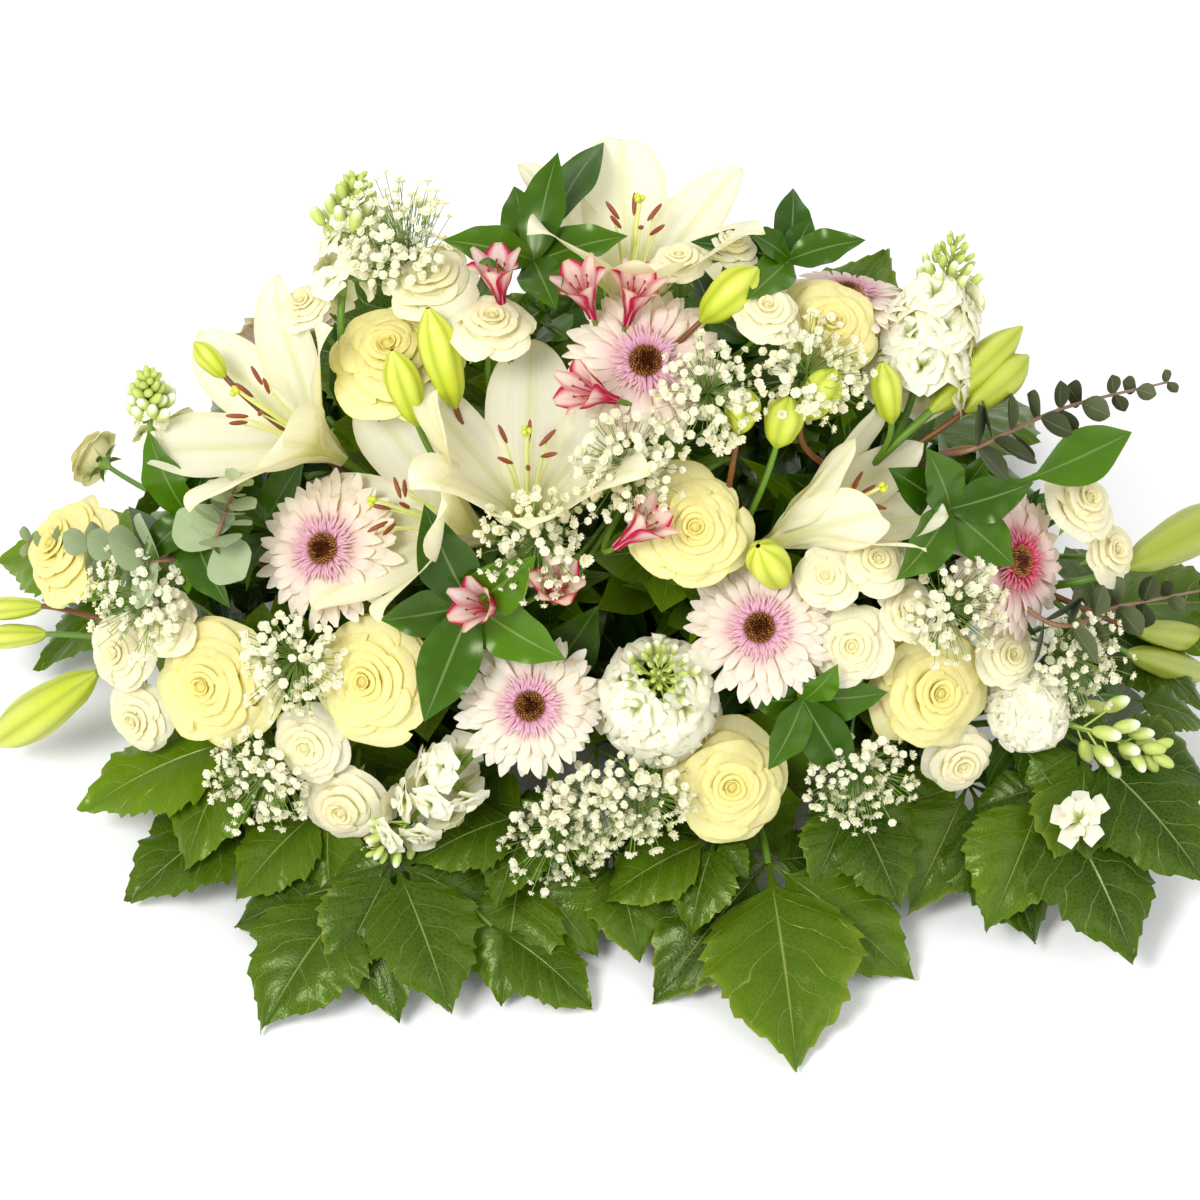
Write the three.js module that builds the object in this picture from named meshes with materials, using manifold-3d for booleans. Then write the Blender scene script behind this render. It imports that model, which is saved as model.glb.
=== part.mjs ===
// A casket spray: lilies, gerberas, roses and small flowers in a block of wet foam in a low tray,
// over a skirt of large toothed leaves. Millimetres, +Z up, +X to the right, the front faces -Y.
import * as THREE from 'three';
import { mergeVertices } from 'three/addons/utils/BufferGeometryUtils.js';
import Module from 'manifold-3d';

const wasm = await Module();
wasm.setup();

// Driving dimensions
const CLEARANCE = 0.4; // left between two pieces that would cross
const TRAY = { length: 336, depth: 166, height: 24, wall: 3, floor: 3, corner: 14 };
const FOAM = { length: 300, depth: 130, height: 92, lift: 3.3 };
const SPINE = { height: 46, share: 0.34, most: 132 }; // the line in the foam that the stems aim for
const HOLE_DEPTH = 32; // how far a stem is pushed into the foam
const DOME = { centreHeight: 40, halfLength: 410, halfDepth: 250, height: 400 };

// The photograph's view, which turns a pixel of its 1200 x 1200 frame into a place on the dome
const VIEW = { rise: 45, distance: 3000, mmPerPixel: 0.7, centre: 600, aimHeight: 57 };

const radians = THREE.MathUtils.degToRad;
const vector = (x, y, z) => new THREE.Vector3(x, y, z);
const RIGHT = vector(1, 0, 0);
const UP = vector(0, Math.sin(radians(VIEW.rise)), Math.cos(radians(VIEW.rise)));
const TOWARD = vector(0, -Math.cos(radians(VIEW.rise)), Math.sin(radians(VIEW.rise)));
const AIM = vector(0, 0, VIEW.aimHeight);
const EYE = AIM.clone().addScaledVector(TOWARD, VIEW.distance);

// Colours of the materials
const COLOURS = {
  tray: '#2c4a34',
  foam: '#3f6b45',
  lily: '#f5f0d8',
  bud: '#c9d36a',
  gerbera: '#f6e2e2',
  rose: '#f4edbd',
  sprayRose: '#f7f1df',
  stock: '#f6f7f3',
  alstroemeria: '#e59aa8',
  gypsophila: '#f1f3ea',
  eucalyptus: '#7f9a86',
  ruscus: '#3d7a2b',
  foliage: '#2f6d24',
};

// The blooms. "at" is the pixel that a bloom's middle shows at, "reach" its share of the dome's
// radius, "faces" how far it is turned to the right and up from the line to the viewer. A bloom
// behind the crest has "behind" instead: degrees round from the back towards +X, and up.
const LILIES = [
  { at: [296, 430], reach: 0.92, faces: [-50, 26], buds: [{ base: [226, 378], tip: [194, 342], width: 15 }] },
  {
    at: [527, 492],
    reach: 0.92,
    faces: [0, 44],
    buds: [
      { base: [456, 408], tip: [428, 308], width: 26, baseReach: 0.93 },
      { base: [418, 426], tip: [392, 350], width: 22, baseReach: 0.93 },
    ],
  },
  { at: [440, 522], reach: 0.88, faces: [-54, 14], spin: 26 },
  { at: [632, 272], reach: 0.9, faces: [8, 56], buds: [{ base: [700, 322], tip: [758, 268], width: 27 }] },
  {
    at: [816, 520],
    reach: 0.92,
    faces: [56, 22],
    open: 0.58,
    buds: [
      { base: [738, 434], tip: [746, 388], width: 22 },
      { base: [776, 448], tip: [790, 396], width: 24 },
      { base: [782, 584], tip: [758, 546], width: 26, baseReach: 0.94, tipReach: 1.05 },
    ],
  },
  { behind: [4, 12], reach: 0.94, spin: 30 },
];

const LILY_BUDS = [
  [
    { base: [928, 414], tip: [1022, 327], width: 23 },
    { base: [964, 412], tip: [1028, 356], width: 25 },
    { base: [892, 424], tip: [882, 362], width: 20 },
    { base: [802, 420], tip: [838, 368], width: 25 },
  ],
  [
    { base: [1124, 568], tip: [1236, 508], width: 31 },
    { base: [1132, 628], tip: [1212, 642], width: 20 },
    { base: [1126, 652], tip: [1208, 676], width: 21 },
  ],
  [
    { base: [98, 672], tip: [-8, 745], width: 31, tipHeight: 34 },
    { base: [44, 606], tip: [-22, 610], width: 16, tipHeight: 76 },
    { base: [48, 634], tip: [-20, 638], width: 17, tipHeight: 60 },
  ],
];

const GERBERAS = [
  { at: [328, 550], reach: 0.92, faces: [-24, 8], width: 108 },
  { at: [645, 364], reach: 0.96, faces: [2, 14], width: 108 },
  { at: [530, 705], reach: 0.96, faces: [0, -4], width: 102 },
  { at: [760, 628], reach: 0.96, faces: [-4, 2], width: 102 },
  { at: [1012, 562], reach: 0.96, faces: [42, 4], width: 108 },
  { at: [846, 300], reach: 0.92, faces: [14, 66], width: 104 },
  { behind: [-36, 12], reach: 0.98, width: 108 },
];

const ROSES = [
  { at: [692, 527], reach: 0.97, faces: [8, 4], width: 80 },
  { at: [727, 783], reach: 0.97, faces: [8, -12], width: 82 },
  { at: [374, 678], reach: 0.98, faces: [-20, -4], width: 88 },
  { at: [215, 684], reach: 0.98, faces: [-22, -8], width: 92 },
  { at: [68, 550], reach: 1.0, faces: [-44, 16], width: 80 },
  { at: [828, 328], reach: 0.98, faces: [6, 22], width: 72 },
  { at: [930, 690], reach: 0.97, faces: [24, -6], width: 86 },
  { at: [394, 358], reach: 0.93, faces: [-10, 30], width: 88 },
  { behind: [34, 14], reach: 0.98, width: 86 },
];

// Each head is a pixel, its width, and how it is turned.
const SPRAY_ROSES = [
  {
    heads: [
      { at: [490, 326], width: 56, faces: [6, 40] },
      { at: [430, 282], width: 62, faces: [-8, 42], reach: 0.97 },
      { at: [304, 306], width: 38, faces: [-20, 34] },
    ],
  },
  {
    heads: [
      { at: [680, 262], width: 38, faces: [-6, 44] },
      { at: [730, 246], width: 40, faces: [12, 46] },
      { at: [766, 312], width: 44, faces: [8, 30], reach: 1.03 },
    ],
  },
  {
    heads: [
      { at: [826, 578], width: 42, faces: [0, 10] },
      { at: [876, 562], width: 50, faces: [14, 16] },
      { at: [850, 644], width: 56, faces: [4, -4] },
      { at: [908, 612], width: 44, faces: [22, 8] },
    ],
  },
  { heads: [{ at: [960, 760], width: 50, faces: [18, -30] }, { at: [1008, 656], width: 46, faces: [24, 4] }] },
  { heads: [{ at: [1080, 502], width: 54, faces: [34, 26] }, { at: [1110, 552], width: 46, faces: [40, 8] }] },
  {
    heads: [
      { at: [140, 716], width: 52, faces: [-30, -20] },
      { at: [122, 654], width: 54, faces: [-34, -2] },
      { at: [168, 622], width: 46, faces: [-24, 12] },
    ],
  },
  {
    heads: [
      { at: [310, 744], width: 54, faces: [-18, -16] },
      { at: [344, 804], width: 60, faces: [-16, -30] },
    ],
  },
  {
    heads: [
      { behind: [-64, 8], width: 46 },
      { behind: [-50, 4], width: 48 },
      { behind: [-16, 6], width: 50 },
      { behind: [-20, 26], width: 44, reach: 0.92 },
    ],
  },
];

// A spike of stock runs from its lowest floret to its tip.
const STOCKS = [
  { base: [342, 296], tip: [357, 176], baseReach: 0.97, tipReach: 1.06, width: 66, florets: 5 },
  { base: [914, 392], tip: [958, 236], baseReach: 0.95, tipReach: 1.08, width: 108, florets: 7 },
  { base: [656, 706], tip: [660, 668], baseReach: 0.86, tipReach: 1.08, width: 122, florets: 8 },
  { base: [464, 764], tip: [364, 868], baseReach: 0.98, tipReach: 1.06, width: 82, florets: 5 },
  { base: [152, 448], tip: [148, 372], baseReach: 1.0, tipReach: 1.1, width: 40, florets: 4 },
  { base: [1008, 704], tip: [1164, 756], baseReach: 0.98, tipReach: 1.06, width: 76, florets: 5 },
];

const ALSTROEMERIAS = [
  {
    heads: [
      { at: [497, 278], faces: [-10, 50], reach: 1.03 },
      { at: [584, 292], faces: [-20, 40], reach: 1.03 },
      { at: [634, 296], faces: [18, 46], reach: 1.03 },
    ],
  },
  {
    heads: [
      { at: [590, 392], faces: [-46, 10], reach: 1.07 },
      { at: [640, 528], faces: [50, 30], reach: 1.08 },
      { at: [556, 588], faces: [4, 20], reach: 1.03 },
      { at: [482, 606], faces: [-34, 4], reach: 1.03 },
    ],
  },
];

// Each gypsophila stem ends in clusters, one at each pixel.
const GYPSOPHILA = [
  [[262, 778], [292, 664], [136, 600], [398, 232]],
  [[628, 466], [536, 545], [712, 392], [812, 372]],
  [[596, 812], [556, 838], [640, 800]],
  [[956, 612], [860, 778], [1078, 662]],
];

// A leafy shoot is a row of pixels that it grows through.
const EUCALYPTUS = [
  { shoots: [[[160, 560], [100, 552], [28, 542]], [[215, 548], [226, 512], [238, 482]]], leaf: 16, pairs: 4 },
  { shoots: [[[975, 448], [1064, 408], [1168, 382]], [[1040, 618], [1120, 606], [1204, 590]]], leaf: 16, pairs: 4 },
];

// Each ruscus stem ends at a pixel, and its leaves reach to their tips.
const RUSCUS = [
  {
    at: [534, 262],
    tips: [[558, 152], [514, 186], [442, 240], [628, 236], [556, 310], [604, 142]],
    width: 28,
  },
  { at: [788, 262], tips: [[732, 222], [793, 188], [866, 240], [690, 242], [746, 300], [812, 218]], width: 24 },
  {
    at: [948, 508],
    tips: [[926, 448], [990, 452], [1034, 482], [1014, 566], [896, 580], [888, 468], [1132, 432]],
    width: 34,
  },
  { at: [192, 516], tips: [[148, 430], [212, 450], [142, 562], [188, 594], [230, 608], [252, 572]], width: 32 },
  { at: [472, 604], tips: [[424, 504], [380, 620], [424, 722], [566, 660], [536, 556]], width: 36 },
  { at: [802, 698], tips: [[852, 782], [888, 692], [768, 770], [746, 700], [838, 664]], width: 30 },
];

// Large toothed leaves. A place is a pixel and its height, or x, y and z where the leaf is hidden.
const LEAF_BRANCHES = [
  [
    { base: { at: [246, 738], height: 84 }, tip: { at: [84, 812], height: 38 }, full: true },
    { base: { at: [330, 802], height: 72 }, tip: { at: [236, 900], height: 30 } },
    { base: { place: [-296, 20, 66] }, tip: { place: [-430, 64, 30] } },
  ],
  [
    { base: { at: [366, 880], height: 52 }, tip: { at: [262, 1030], height: 8 }, full: true },
    { base: { at: [394, 862], height: 68 }, tip: { at: [450, 1012], height: 24 } },
    { base: { at: [522, 862], height: 54 }, tip: { at: [502, 1006], height: 8 }, full: true },
    { base: { at: [534, 812], height: 84 }, tip: { at: [410, 866], height: 66 } },
  ],
  [
    { base: { at: [768, 862], height: 52 }, tip: { at: [797, 1070], height: 7 } },
    { base: { at: [716, 838], height: 74 }, tip: { at: [602, 902], height: 50 } },
    { base: { at: [612, 852], height: 52 }, tip: { at: [640, 962], height: 20 } },
  ],
  [
    { base: { at: [968, 784], height: 66 }, tip: { at: [1036, 944], height: 14 }, full: true },
    { base: { at: [850, 802], height: 74 }, tip: { at: [900, 908], height: 42 } },
    { base: { at: [1046, 786], height: 78 }, tip: { at: [1134, 960], height: 28 } },
    { base: { at: [1084, 748], height: 94 }, tip: { at: [1208, 886], height: 50 } },
    { base: { place: [330, -44, 84] }, tip: { place: [456, -12, 60] } },
  ],
  [
    { base: { place: [-52, 150, 70] }, tip: { place: [-88, 318, 12] } },
    { base: { place: [-176, 146, 66] }, tip: { place: [-290, 256, 14] } },
    { base: { place: [84, 150, 72] }, tip: { place: [110, 322, 16] } },
    { base: { place: [214, 138, 72] }, tip: { place: [322, 240, 20] } },
    { base: { place: [-120, 140, 130] }, tip: { place: [-176, 246, 190] } },
    { base: { place: [10, 150, 130] }, tip: { place: [-6, 262, 200] } },
    { base: { place: [142, 140, 120] }, tip: { place: [206, 238, 176] } },
  ],
];

// Seeded random draws, so that each run gives the same spray
function seeded(seed) {
  let state = seed >>> 0;
  return () => {
    state = (Math.imul(state, 1664525) + 1013904223) >>> 0;
    return state / 4294967296;
  };
}

// Places on the dome
function rayThrough([u, v]) {
  const target = AIM.clone()
    .addScaledVector(RIGHT, (u - VIEW.centre) * VIEW.mmPerPixel)
    .addScaledVector(UP, (VIEW.centre - v) * VIEW.mmPerPixel);
  return target.sub(EYE).normalize();
}

function onDome(pixel, reach) {
  const direction = rayThrough(pixel);
  const half = vector(DOME.halfLength, DOME.halfDepth, DOME.height).multiplyScalar(reach);
  const start = EYE.clone().sub(vector(0, 0, DOME.centreHeight)).divide(half);
  const step = direction.clone().divide(half);
  const square = step.dot(step);
  const cross = start.dot(step);
  const inside = Math.max(0, cross * cross - square * (start.dot(start) - 1));
  return EYE.clone().addScaledVector(direction, (-cross - Math.sqrt(inside)) / square);
}

function onLevel(pixel, height) {
  const direction = rayThrough(pixel);
  return EYE.clone().addScaledVector(direction, (height - EYE.z) / direction.z);
}

function behindCrest([turn, rise], reach) {
  const around = Math.cos(radians(rise));
  return vector(
    DOME.halfLength * around * Math.sin(radians(turn)),
    DOME.halfDepth * around * Math.cos(radians(turn)),
    DOME.height * Math.sin(radians(rise)),
  )
    .multiplyScalar(reach)
    .add(vector(0, 0, DOME.centreHeight));
}

function outwardFrom(point) {
  return vector(
    point.x / DOME.halfLength ** 2,
    point.y / DOME.halfDepth ** 2,
    (point.z - DOME.centreHeight) / DOME.height ** 2,
  ).normalize();
}

function turnedFromViewer([right, up]) {
  const level = Math.cos(radians(up));
  return vector(0, 0, 0)
    .addScaledVector(TOWARD, level * Math.cos(radians(right)))
    .addScaledVector(RIGHT, level * Math.sin(radians(right)))
    .addScaledVector(UP, Math.sin(radians(up)));
}

function spot(row, reach = row.reach ?? 1) {
  if (row.behind) {
    const point = behindCrest(row.behind, reach);
    return { point, facing: outwardFrom(point) };
  }
  return { point: onDome(row.at, reach), facing: turnedFromViewer(row.faces) };
}

// A frame at a point whose Z axis is the facing, and whose Y axis is as near the picture's up as it can be
function frameAt(point, facing, spin = 0) {
  const across = UP.clone().cross(facing).normalize();
  const along = facing.clone().cross(across);
  return new THREE.Matrix4()
    .makeBasis(across, along, facing)
    .setPosition(point)
    .multiply(new THREE.Matrix4().makeRotationZ(radians(spin)));
}

// Solids
function geometryOf(points, triangles) {
  const geometry = new THREE.BufferGeometry().setFromPoints(points);
  geometry.setIndex(triangles.flat());
  return geometry;
}

function manifoldOf(geometry) {
  return new wasm.Manifold(
    new wasm.Mesh({
      numProp: 3,
      vertProperties: new Float32Array(geometry.attributes.position.array),
      triVerts: new Uint32Array(geometry.index.array),
    }),
  );
}

// Each corner moved out so far that the faces around it all move by about the distance, and never
// by more than MOST_SHARP times as far, which holds the sharp edges of leaves and petals
const MOST_SHARP = 2.4;

function grown(geometry, distance) {
  const { position } = geometry.attributes;
  const corners = Array.from({ length: position.count }, () => ({ sum: vector(0, 0, 0), faces: [] }));
  const face = new THREE.Triangle();
  for (let i = 0; i < geometry.index.count; i += 3) {
    const indices = [0, 1, 2].map((k) => geometry.index.getX(i + k));
    face.setFromAttributeAndIndices(position, ...indices);
    const points = [face.a, face.b, face.c];
    const normal = face.getNormal(vector(0, 0, 0));
    indices.forEach((index, k) => {
      const toNext = points[(k + 1) % 3].clone().sub(points[k]);
      const toLast = points[(k + 2) % 3].clone().sub(points[k]);
      corners[index].sum.addScaledVector(normal, toNext.angleTo(toLast));
      corners[index].faces.push(normal);
    });
  }
  const larger = geometry.clone();
  corners.forEach(({ sum, faces }, i) => {
    sum.normalize();
    const least = Math.min(...faces.map((normal) => normal.dot(sum)));
    const step = distance / Math.max(1 / MOST_SHARP, least);
    const moved = vector(0, 0, 0).fromBufferAttribute(position, i).addScaledVector(sum, step);
    larger.attributes.position.setXYZ(i, ...moved.toArray());
  });
  return larger;
}

// A piece is a solid and its guard, the same solid grown by the clearance, which cuts what crosses it.
// The guard of a thin sheet is joined with the sheet made thicker, since growing can't thicken its edges.
function pieceOf(geometry, matrix) {
  const settled = (shape) => {
    const bare = shape.clone();
    bare.deleteAttribute('normal');
    bare.deleteAttribute('uv');
    if (matrix) bare.applyMatrix4(matrix);
    return mergeVertices(bare, 1e-4);
  };
  const merged = settled(geometry);
  const { thicker } = geometry.userData;
  const guard = manifoldOf(grown(merged, CLEARANCE));
  return { solid: manifoldOf(merged), guard: thicker ? guard.add(manifoldOf(settled(thicker))) : guard };
}

// A closed skin through rings of points, from a point below them, or a flat foot where there is
// none, to a point above them
function ringedGeometry(bottom, rings, top) {
  const columns = rings[0].length;
  const points = [...rings.flat(), top];
  const last = points.length - 1;
  const place = (ring, column) => ring * columns + (column % columns);
  const triangles = bottom
    ? rings[0].map((_, i) => [last + 1, place(0, i + 1), place(0, i)])
    : rings[0].slice(2).map((_, i) => [0, i + 2, i + 1]);
  if (bottom) points.push(bottom);
  for (let i = 0; i < columns; i += 1) {
    for (let ring = 0; ring < rings.length - 1; ring += 1) {
      triangles.push([place(ring, i), place(ring, i + 1), place(ring + 1, i + 1)]);
      triangles.push([place(ring, i), place(ring + 1, i + 1), place(ring + 1, i)]);
    }
    triangles.push([last, place(rings.length - 1, i), place(rings.length - 1, i + 1)]);
  }
  return geometryOf(points, triangles);
}

function ring(columns, radius, height, wave = 0, lift = 0, turn = 0) {
  return Array.from({ length: columns }, (_, i) => {
    const angle = ((i + turn) / columns) * Math.PI * 2;
    const crest = i % 2 === 0 ? 1 : -1;
    const out = radius * (1 + wave * crest);
    return vector(out * Math.cos(angle), out * Math.sin(angle), height + lift * crest);
  });
}

// A thin sheet: each vertex has a half thickness, and those with none are its sharp edge.
function sheetGeometry(vertices, triangles) {
  const sheet = skinOf(vertices, triangles);
  const thick = vertices.map((vertex) => ({ ...vertex, half: vertex.half + CLEARANCE }));
  sheet.userData.thicker = skinOf(thick, triangles);
  return sheet;
}

function skinOf(vertices, triangles) {
  const points = vertices.map(({ point, normal, half }) => point.clone().addScaledVector(normal, half));
  const under = vertices.map(({ point, normal, half }, i) => {
    if (half === 0) return i;
    points.push(point.clone().addScaledVector(normal, -half));
    return points.length - 1;
  });
  const faces = [];
  const edges = new Map();
  for (const [a, b, c] of triangles) {
    faces.push([a, b, c], [under[a], under[c], under[b]]);
    for (const [from, to] of [[a, b], [b, c], [c, a]]) edges.set(`${from} ${to}`, [from, to]);
  }
  for (const [from, to] of edges.values()) {
    if (edges.has(`${to} ${from}`)) continue;
    if (under[from] !== from) faces.push([to, from, under[from]]);
    if (under[to] !== to) faces.push([to, under[from], under[to]]);
  }
  return geometryOf(points, faces);
}

// A leaf or petal along a spine, with a raised rib: widths has one entry for each inner spine point.
function bladeGeometry({ spine, widths, side, half, cup = 0 }) {
  const vertices = [];
  const add = (point, normal, thick) => vertices.push({ point, normal, half: thick }) - 1;
  const normals = spine.map((_, i) => {
    const before = spine[Math.max(0, i - 1)];
    const after = spine[Math.min(spine.length - 1, i + 1)];
    return side.clone().cross(after.clone().sub(before)).normalize();
  });
  const base = add(spine[0], normals[0], 0);
  const rows = widths.map((width, i) => {
    const rib = spine[i + 1];
    const normal = normals[i + 1];
    const rise = normal.clone().multiplyScalar(cup * width);
    const right = rib.clone().addScaledVector(side, width).add(rise);
    const left = rib.clone().addScaledVector(side, -width).add(rise);
    return [add(right, normal, 0), add(rib, normal, half), add(left, normal, 0)];
  });
  const tip = add(spine.at(-1), normals.at(-1), 0);
  const triangles = [
    [base, rows[0][0], rows[0][1]],
    [base, rows[0][1], rows[0][2]],
  ];
  for (let i = 0; i < rows.length - 1; i += 1) {
    const [right, rib, left] = rows[i];
    const [nextRight, nextRib, nextLeft] = rows[i + 1];
    triangles.push([right, nextRight, rib], [rib, nextRight, nextRib]);
    triangles.push([rib, nextRib, left], [left, nextRib, nextLeft]);
  }
  const [right, rib, left] = rows.at(-1);
  triangles.push([right, tip, rib], [rib, tip, left]);
  return sheetGeometry(vertices, triangles);
}

function tubeGeometry(curve, radius, sides, steps) {
  const corners = Array.from({ length: sides }, (_, i) => {
    const angle = (i / sides) * Math.PI * 2;
    return new THREE.Vector2(radius * Math.cos(angle), radius * Math.sin(angle));
  });
  return new THREE.ExtrudeGeometry(new THREE.Shape(corners), {
    steps,
    bevelEnabled: false,
    extrudePath: curve,
  });
}

// A slim stalk along a row of points: one ring of corners for each inner point, and a point at both ends
function stalkGeometry(line, radii, columns = 3) {
  const rings = radii.map((radius, i) => {
    const along = line[i + 2].clone().sub(line[i]).normalize();
    const frame = frameAt(line[i + 1], along);
    return ring(columns, radius, 0).map((corner) => corner.applyMatrix4(frame));
  });
  return ringedGeometry(line[0], rings, line.at(-1));
}

// Stems and stalks. Each is kept as the row of points that its own faces run between.
const takenLines = [];
const STEM = { gap: 1.2, steps: 2, samples: 12, slender: 2.5 };
const TRIED_BOWS = [[0, 0, 0], [0, 0, -26], [0, 0, 26], [26, 0, 0], [-26, 0, 0], [50, 0, -20], [-50, 0, -20]];
const TRIED_LIFTS = [0, 12, -10, 24];
const TRIED_SLIDES = [0, 8, -8, 16, -16, 24, -24, 32, -32, 40, -40];
const TRIED_STARTS = [0.66, 0.58, 0.74, 0.5, 0.82, 0.42];
const TRIED_STALK_BOWS = [[0, 0, 0], [0, 0, 12], [0, 0, -12], [14, 0, 0], [-14, 0, 0], [0, 14, 0], [0, -14, 0]];
const TRIED_STALK_BENDS = [1, 2, 3];

function foamExit(from, out) {
  const sideways = (FOAM.length / 2 - Math.abs(from.x)) / Math.max(1e-6, Math.abs(out.x));
  const forwards = FOAM.depth / 2 / Math.max(1e-6, Math.abs(out.y));
  const upwards = (FOAM.lift + FOAM.height - from.z) / Math.max(1e-6, out.z);
  return from.clone().addScaledVector(out, Math.min(sideways, forwards, upwards));
}

function stemPath(base, facing, { slide, lift, bow }) {
  const along = THREE.MathUtils.clamp(base.x * SPINE.share, -SPINE.most, SPINE.most) + slide;
  const aim = vector(THREE.MathUtils.clamp(along, -SPINE.most, SPINE.most), 0, SPINE.height + lift);
  const out = base.clone().sub(aim).normalize();
  const foot = foamExit(aim, out).addScaledVector(out, -HOLE_DEPTH);
  const length = foot.distanceTo(base);
  return new THREE.CubicBezierCurve3(
    foot,
    foot.clone().addScaledVector(out, length * 0.5),
    base.clone().addScaledVector(facing, -length * 0.25).add(vector(...bow)),
    base,
  );
}

function alongLine(line, share) {
  const place = share * (line.length - 1);
  const step = Math.min(line.length - 2, Math.floor(place));
  return line[step].clone().lerp(line[step + 1], place - step);
}

function distanceBetween(line, other) {
  const segment = new THREE.Line3();
  const nearest = vector(0, 0, 0);
  let least = Infinity;
  const samples = STEM.samples * (line.length - 1);
  for (let i = 0; i < other.length - 1; i += 1) {
    segment.set(other[i], other[i + 1]);
    for (let k = 0; k <= samples; k += 1) {
      const point = alongLine(line, k / samples);
      segment.closestPointToPoint(point, true, nearest);
      least = Math.min(least, nearest.distanceTo(point));
    }
  }
  return least;
}

// The first of the lines tried that keeps clear of every other plant's stems and stalks
function firstClear(lines, radius, owner) {
  for (const line of lines) {
    const clear = takenLines.every(
      (taken) =>
        taken.owner === owner || distanceBetween(line, taken.line) > radius + taken.radius + STEM.gap,
    );
    if (clear) {
      takenLines.push({ line, radius, owner });
      return line;
    }
  }
  throw new Error(`no clear way for a stem of ${owner}`);
}

// A plant collects what grows on one stem. Its stem and stalks keep their place, and its blooms give way.
function newPlant(name, colour) {
  return { name, colour, stalks: [], asked: [], blooms: [], anchor: null, line: null };
}

function growStem(plant, base, facing, radius) {
  const ways = TRIED_BOWS.flatMap((bow) =>
    TRIED_LIFTS.flatMap((lift) => TRIED_SLIDES.map((slide) => ({ slide, lift, bow }))),
  );
  function* paths() {
    for (const way of ways) {
      const path = stemPath(base, facing, way);
      const line = path.getSpacedPoints(STEM.steps);
      line.path = path;
      yield line;
    }
  }
  const line = firstClear(paths(), radius, plant.name);
  plant.stalks.push(pieceOf(tubeGeometry(line.path, radius, radius < STEM.slender ? 3 : 4, STEM.steps)));
  plant.line = line;
  plant.anchor = base;
}

// Stalks are asked for here and grown once every stem stands. What hangs on one is added with it.
function askForStalk(plant, stalk) {
  plant.asked.push(stalk);
}

function growStalk(plant, { base, facing, radii, dress }) {
  function* lines() {
    for (const bend of TRIED_STALK_BENDS) {
      for (const bow of TRIED_STALK_BOWS) {
        for (const start of TRIED_STARTS) {
          const from = alongLine(plant.line, start);
          const behind = base.clone().addScaledVector(facing, -from.distanceTo(base) * 0.35);
          behind.addScaledVector(vector(...bow), bend);
          const curve = new THREE.QuadraticBezierCurve3(from, behind, base);
          yield [0, 0.14, 0.72, 1].map((share) => curve.getPoint(share));
        }
      }
    }
  }
  const line = firstClear(lines(), radii[0], plant.name);
  plant.stalks.push(pieceOf(stalkGeometry(line, radii)));
  if (dress) dress(line);
}

// A spindle-shaped bud from its base to its tip
function budGeometry(base, tip, width) {
  const along = tip.clone().sub(base);
  const length = along.length();
  const turn = new THREE.Quaternion().setFromUnitVectors(vector(0, 0, 1), along.normalize());
  const move = (point) => point.applyQuaternion(turn).add(base);
  const rings = [ring(6, width * 0.36, length * 0.2, 0.08), ring(6, width * 0.46, length * 0.62, 0.1)];
  return ringedGeometry(
    move(vector(0, 0, 0)),
    rings.map((corners) => corners.map(move)),
    move(vector(0, 0, length)),
  );
}

// A corolla: petals on the edges of a funnel, as one sheet. A row is its radius, its height and
// the half width of the petal there, and the last row is the tip.
function corollaGeometry({ petals, funnel, root, half, rowsOf, cup }) {
  const vertices = [];
  const sector = (Math.PI * 2) / petals;
  const add = (radius, height, angle, slope, thick) => {
    const normal = vector(-slope[1] * Math.cos(angle), -slope[1] * Math.sin(angle), slope[0]).normalize();
    const point = vector(radius * Math.cos(angle), radius * Math.sin(angle), height);
    return vertices.push({ point, normal, half: thick }) - 1;
  };
  const centre = add(0, funnel, 0, [1, 0], root.half);
  const wall = [root.radius, root.height - funnel];
  const roots = Array.from({ length: petals }, (_, i) =>
    add(root.radius, root.height, (i - 0.5) * sector + Math.PI / 2, wall, half),
  );
  const triangles = [];
  for (let i = 0; i < petals; i += 1) {
    const middle = i * sector + Math.PI / 2;
    const [first, second] = [roots[i], roots[(i + 1) % petals]];
    const rows = rowsOf(i);
    triangles.push([centre, first, second]);
    let before = null;
    rows.slice(0, -1).forEach(([radius, height, width], k) => {
      const slope = [rows[k + 1][0] - radius, rows[k + 1][1] - height];
      const spread = Math.atan2(width, radius);
      const reach = Math.hypot(width, radius);
      const row = [
        add(reach, height + cup * width, middle - spread, slope, 0),
        add(radius, height, middle, slope, half),
        add(reach, height + cup * width, middle + spread, slope, 0),
      ];
      if (before) {
        triangles.push([before[0], row[0], before[1]], [before[1], row[0], row[1]]);
        triangles.push([before[1], row[1], before[2]], [before[2], row[1], row[2]]);
      } else {
        triangles.push([first, row[0], row[1]], [first, row[1], second], [second, row[1], row[2]]);
      }
      before = row;
    });
    const [radius, height] = rows.at(-1);
    const tip = add(radius, height, middle, [1, 0], 0);
    triangles.push([before[0], tip, before[1]], [before[1], tip, before[2]]);
  }
  return sheetGeometry(vertices, triangles);
}

// Lilies
const LILY = { base: -42, stalk: 3.4, stamens: 4, stamenHeight: 40, anther: 2.8 };

function lilyCorolla(open) {
  return corollaGeometry({
    petals: 6,
    funnel: LILY.base,
    root: { radius: 11, height: -14, half: 3 },
    half: 0.9,
    cup: 0.2,
    rowsOf: (i) => {
      const inner = i % 2 === 0;
      return [
        [32 * open + 3, 12, 6 + 8 * open],
        [60 * open, 40 + 14 * (1 - open), inner ? 24 * open : 18 * open],
        [84 * open, 54 + 40 * (1 - open), 0],
      ];
    },
  });
}

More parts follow.
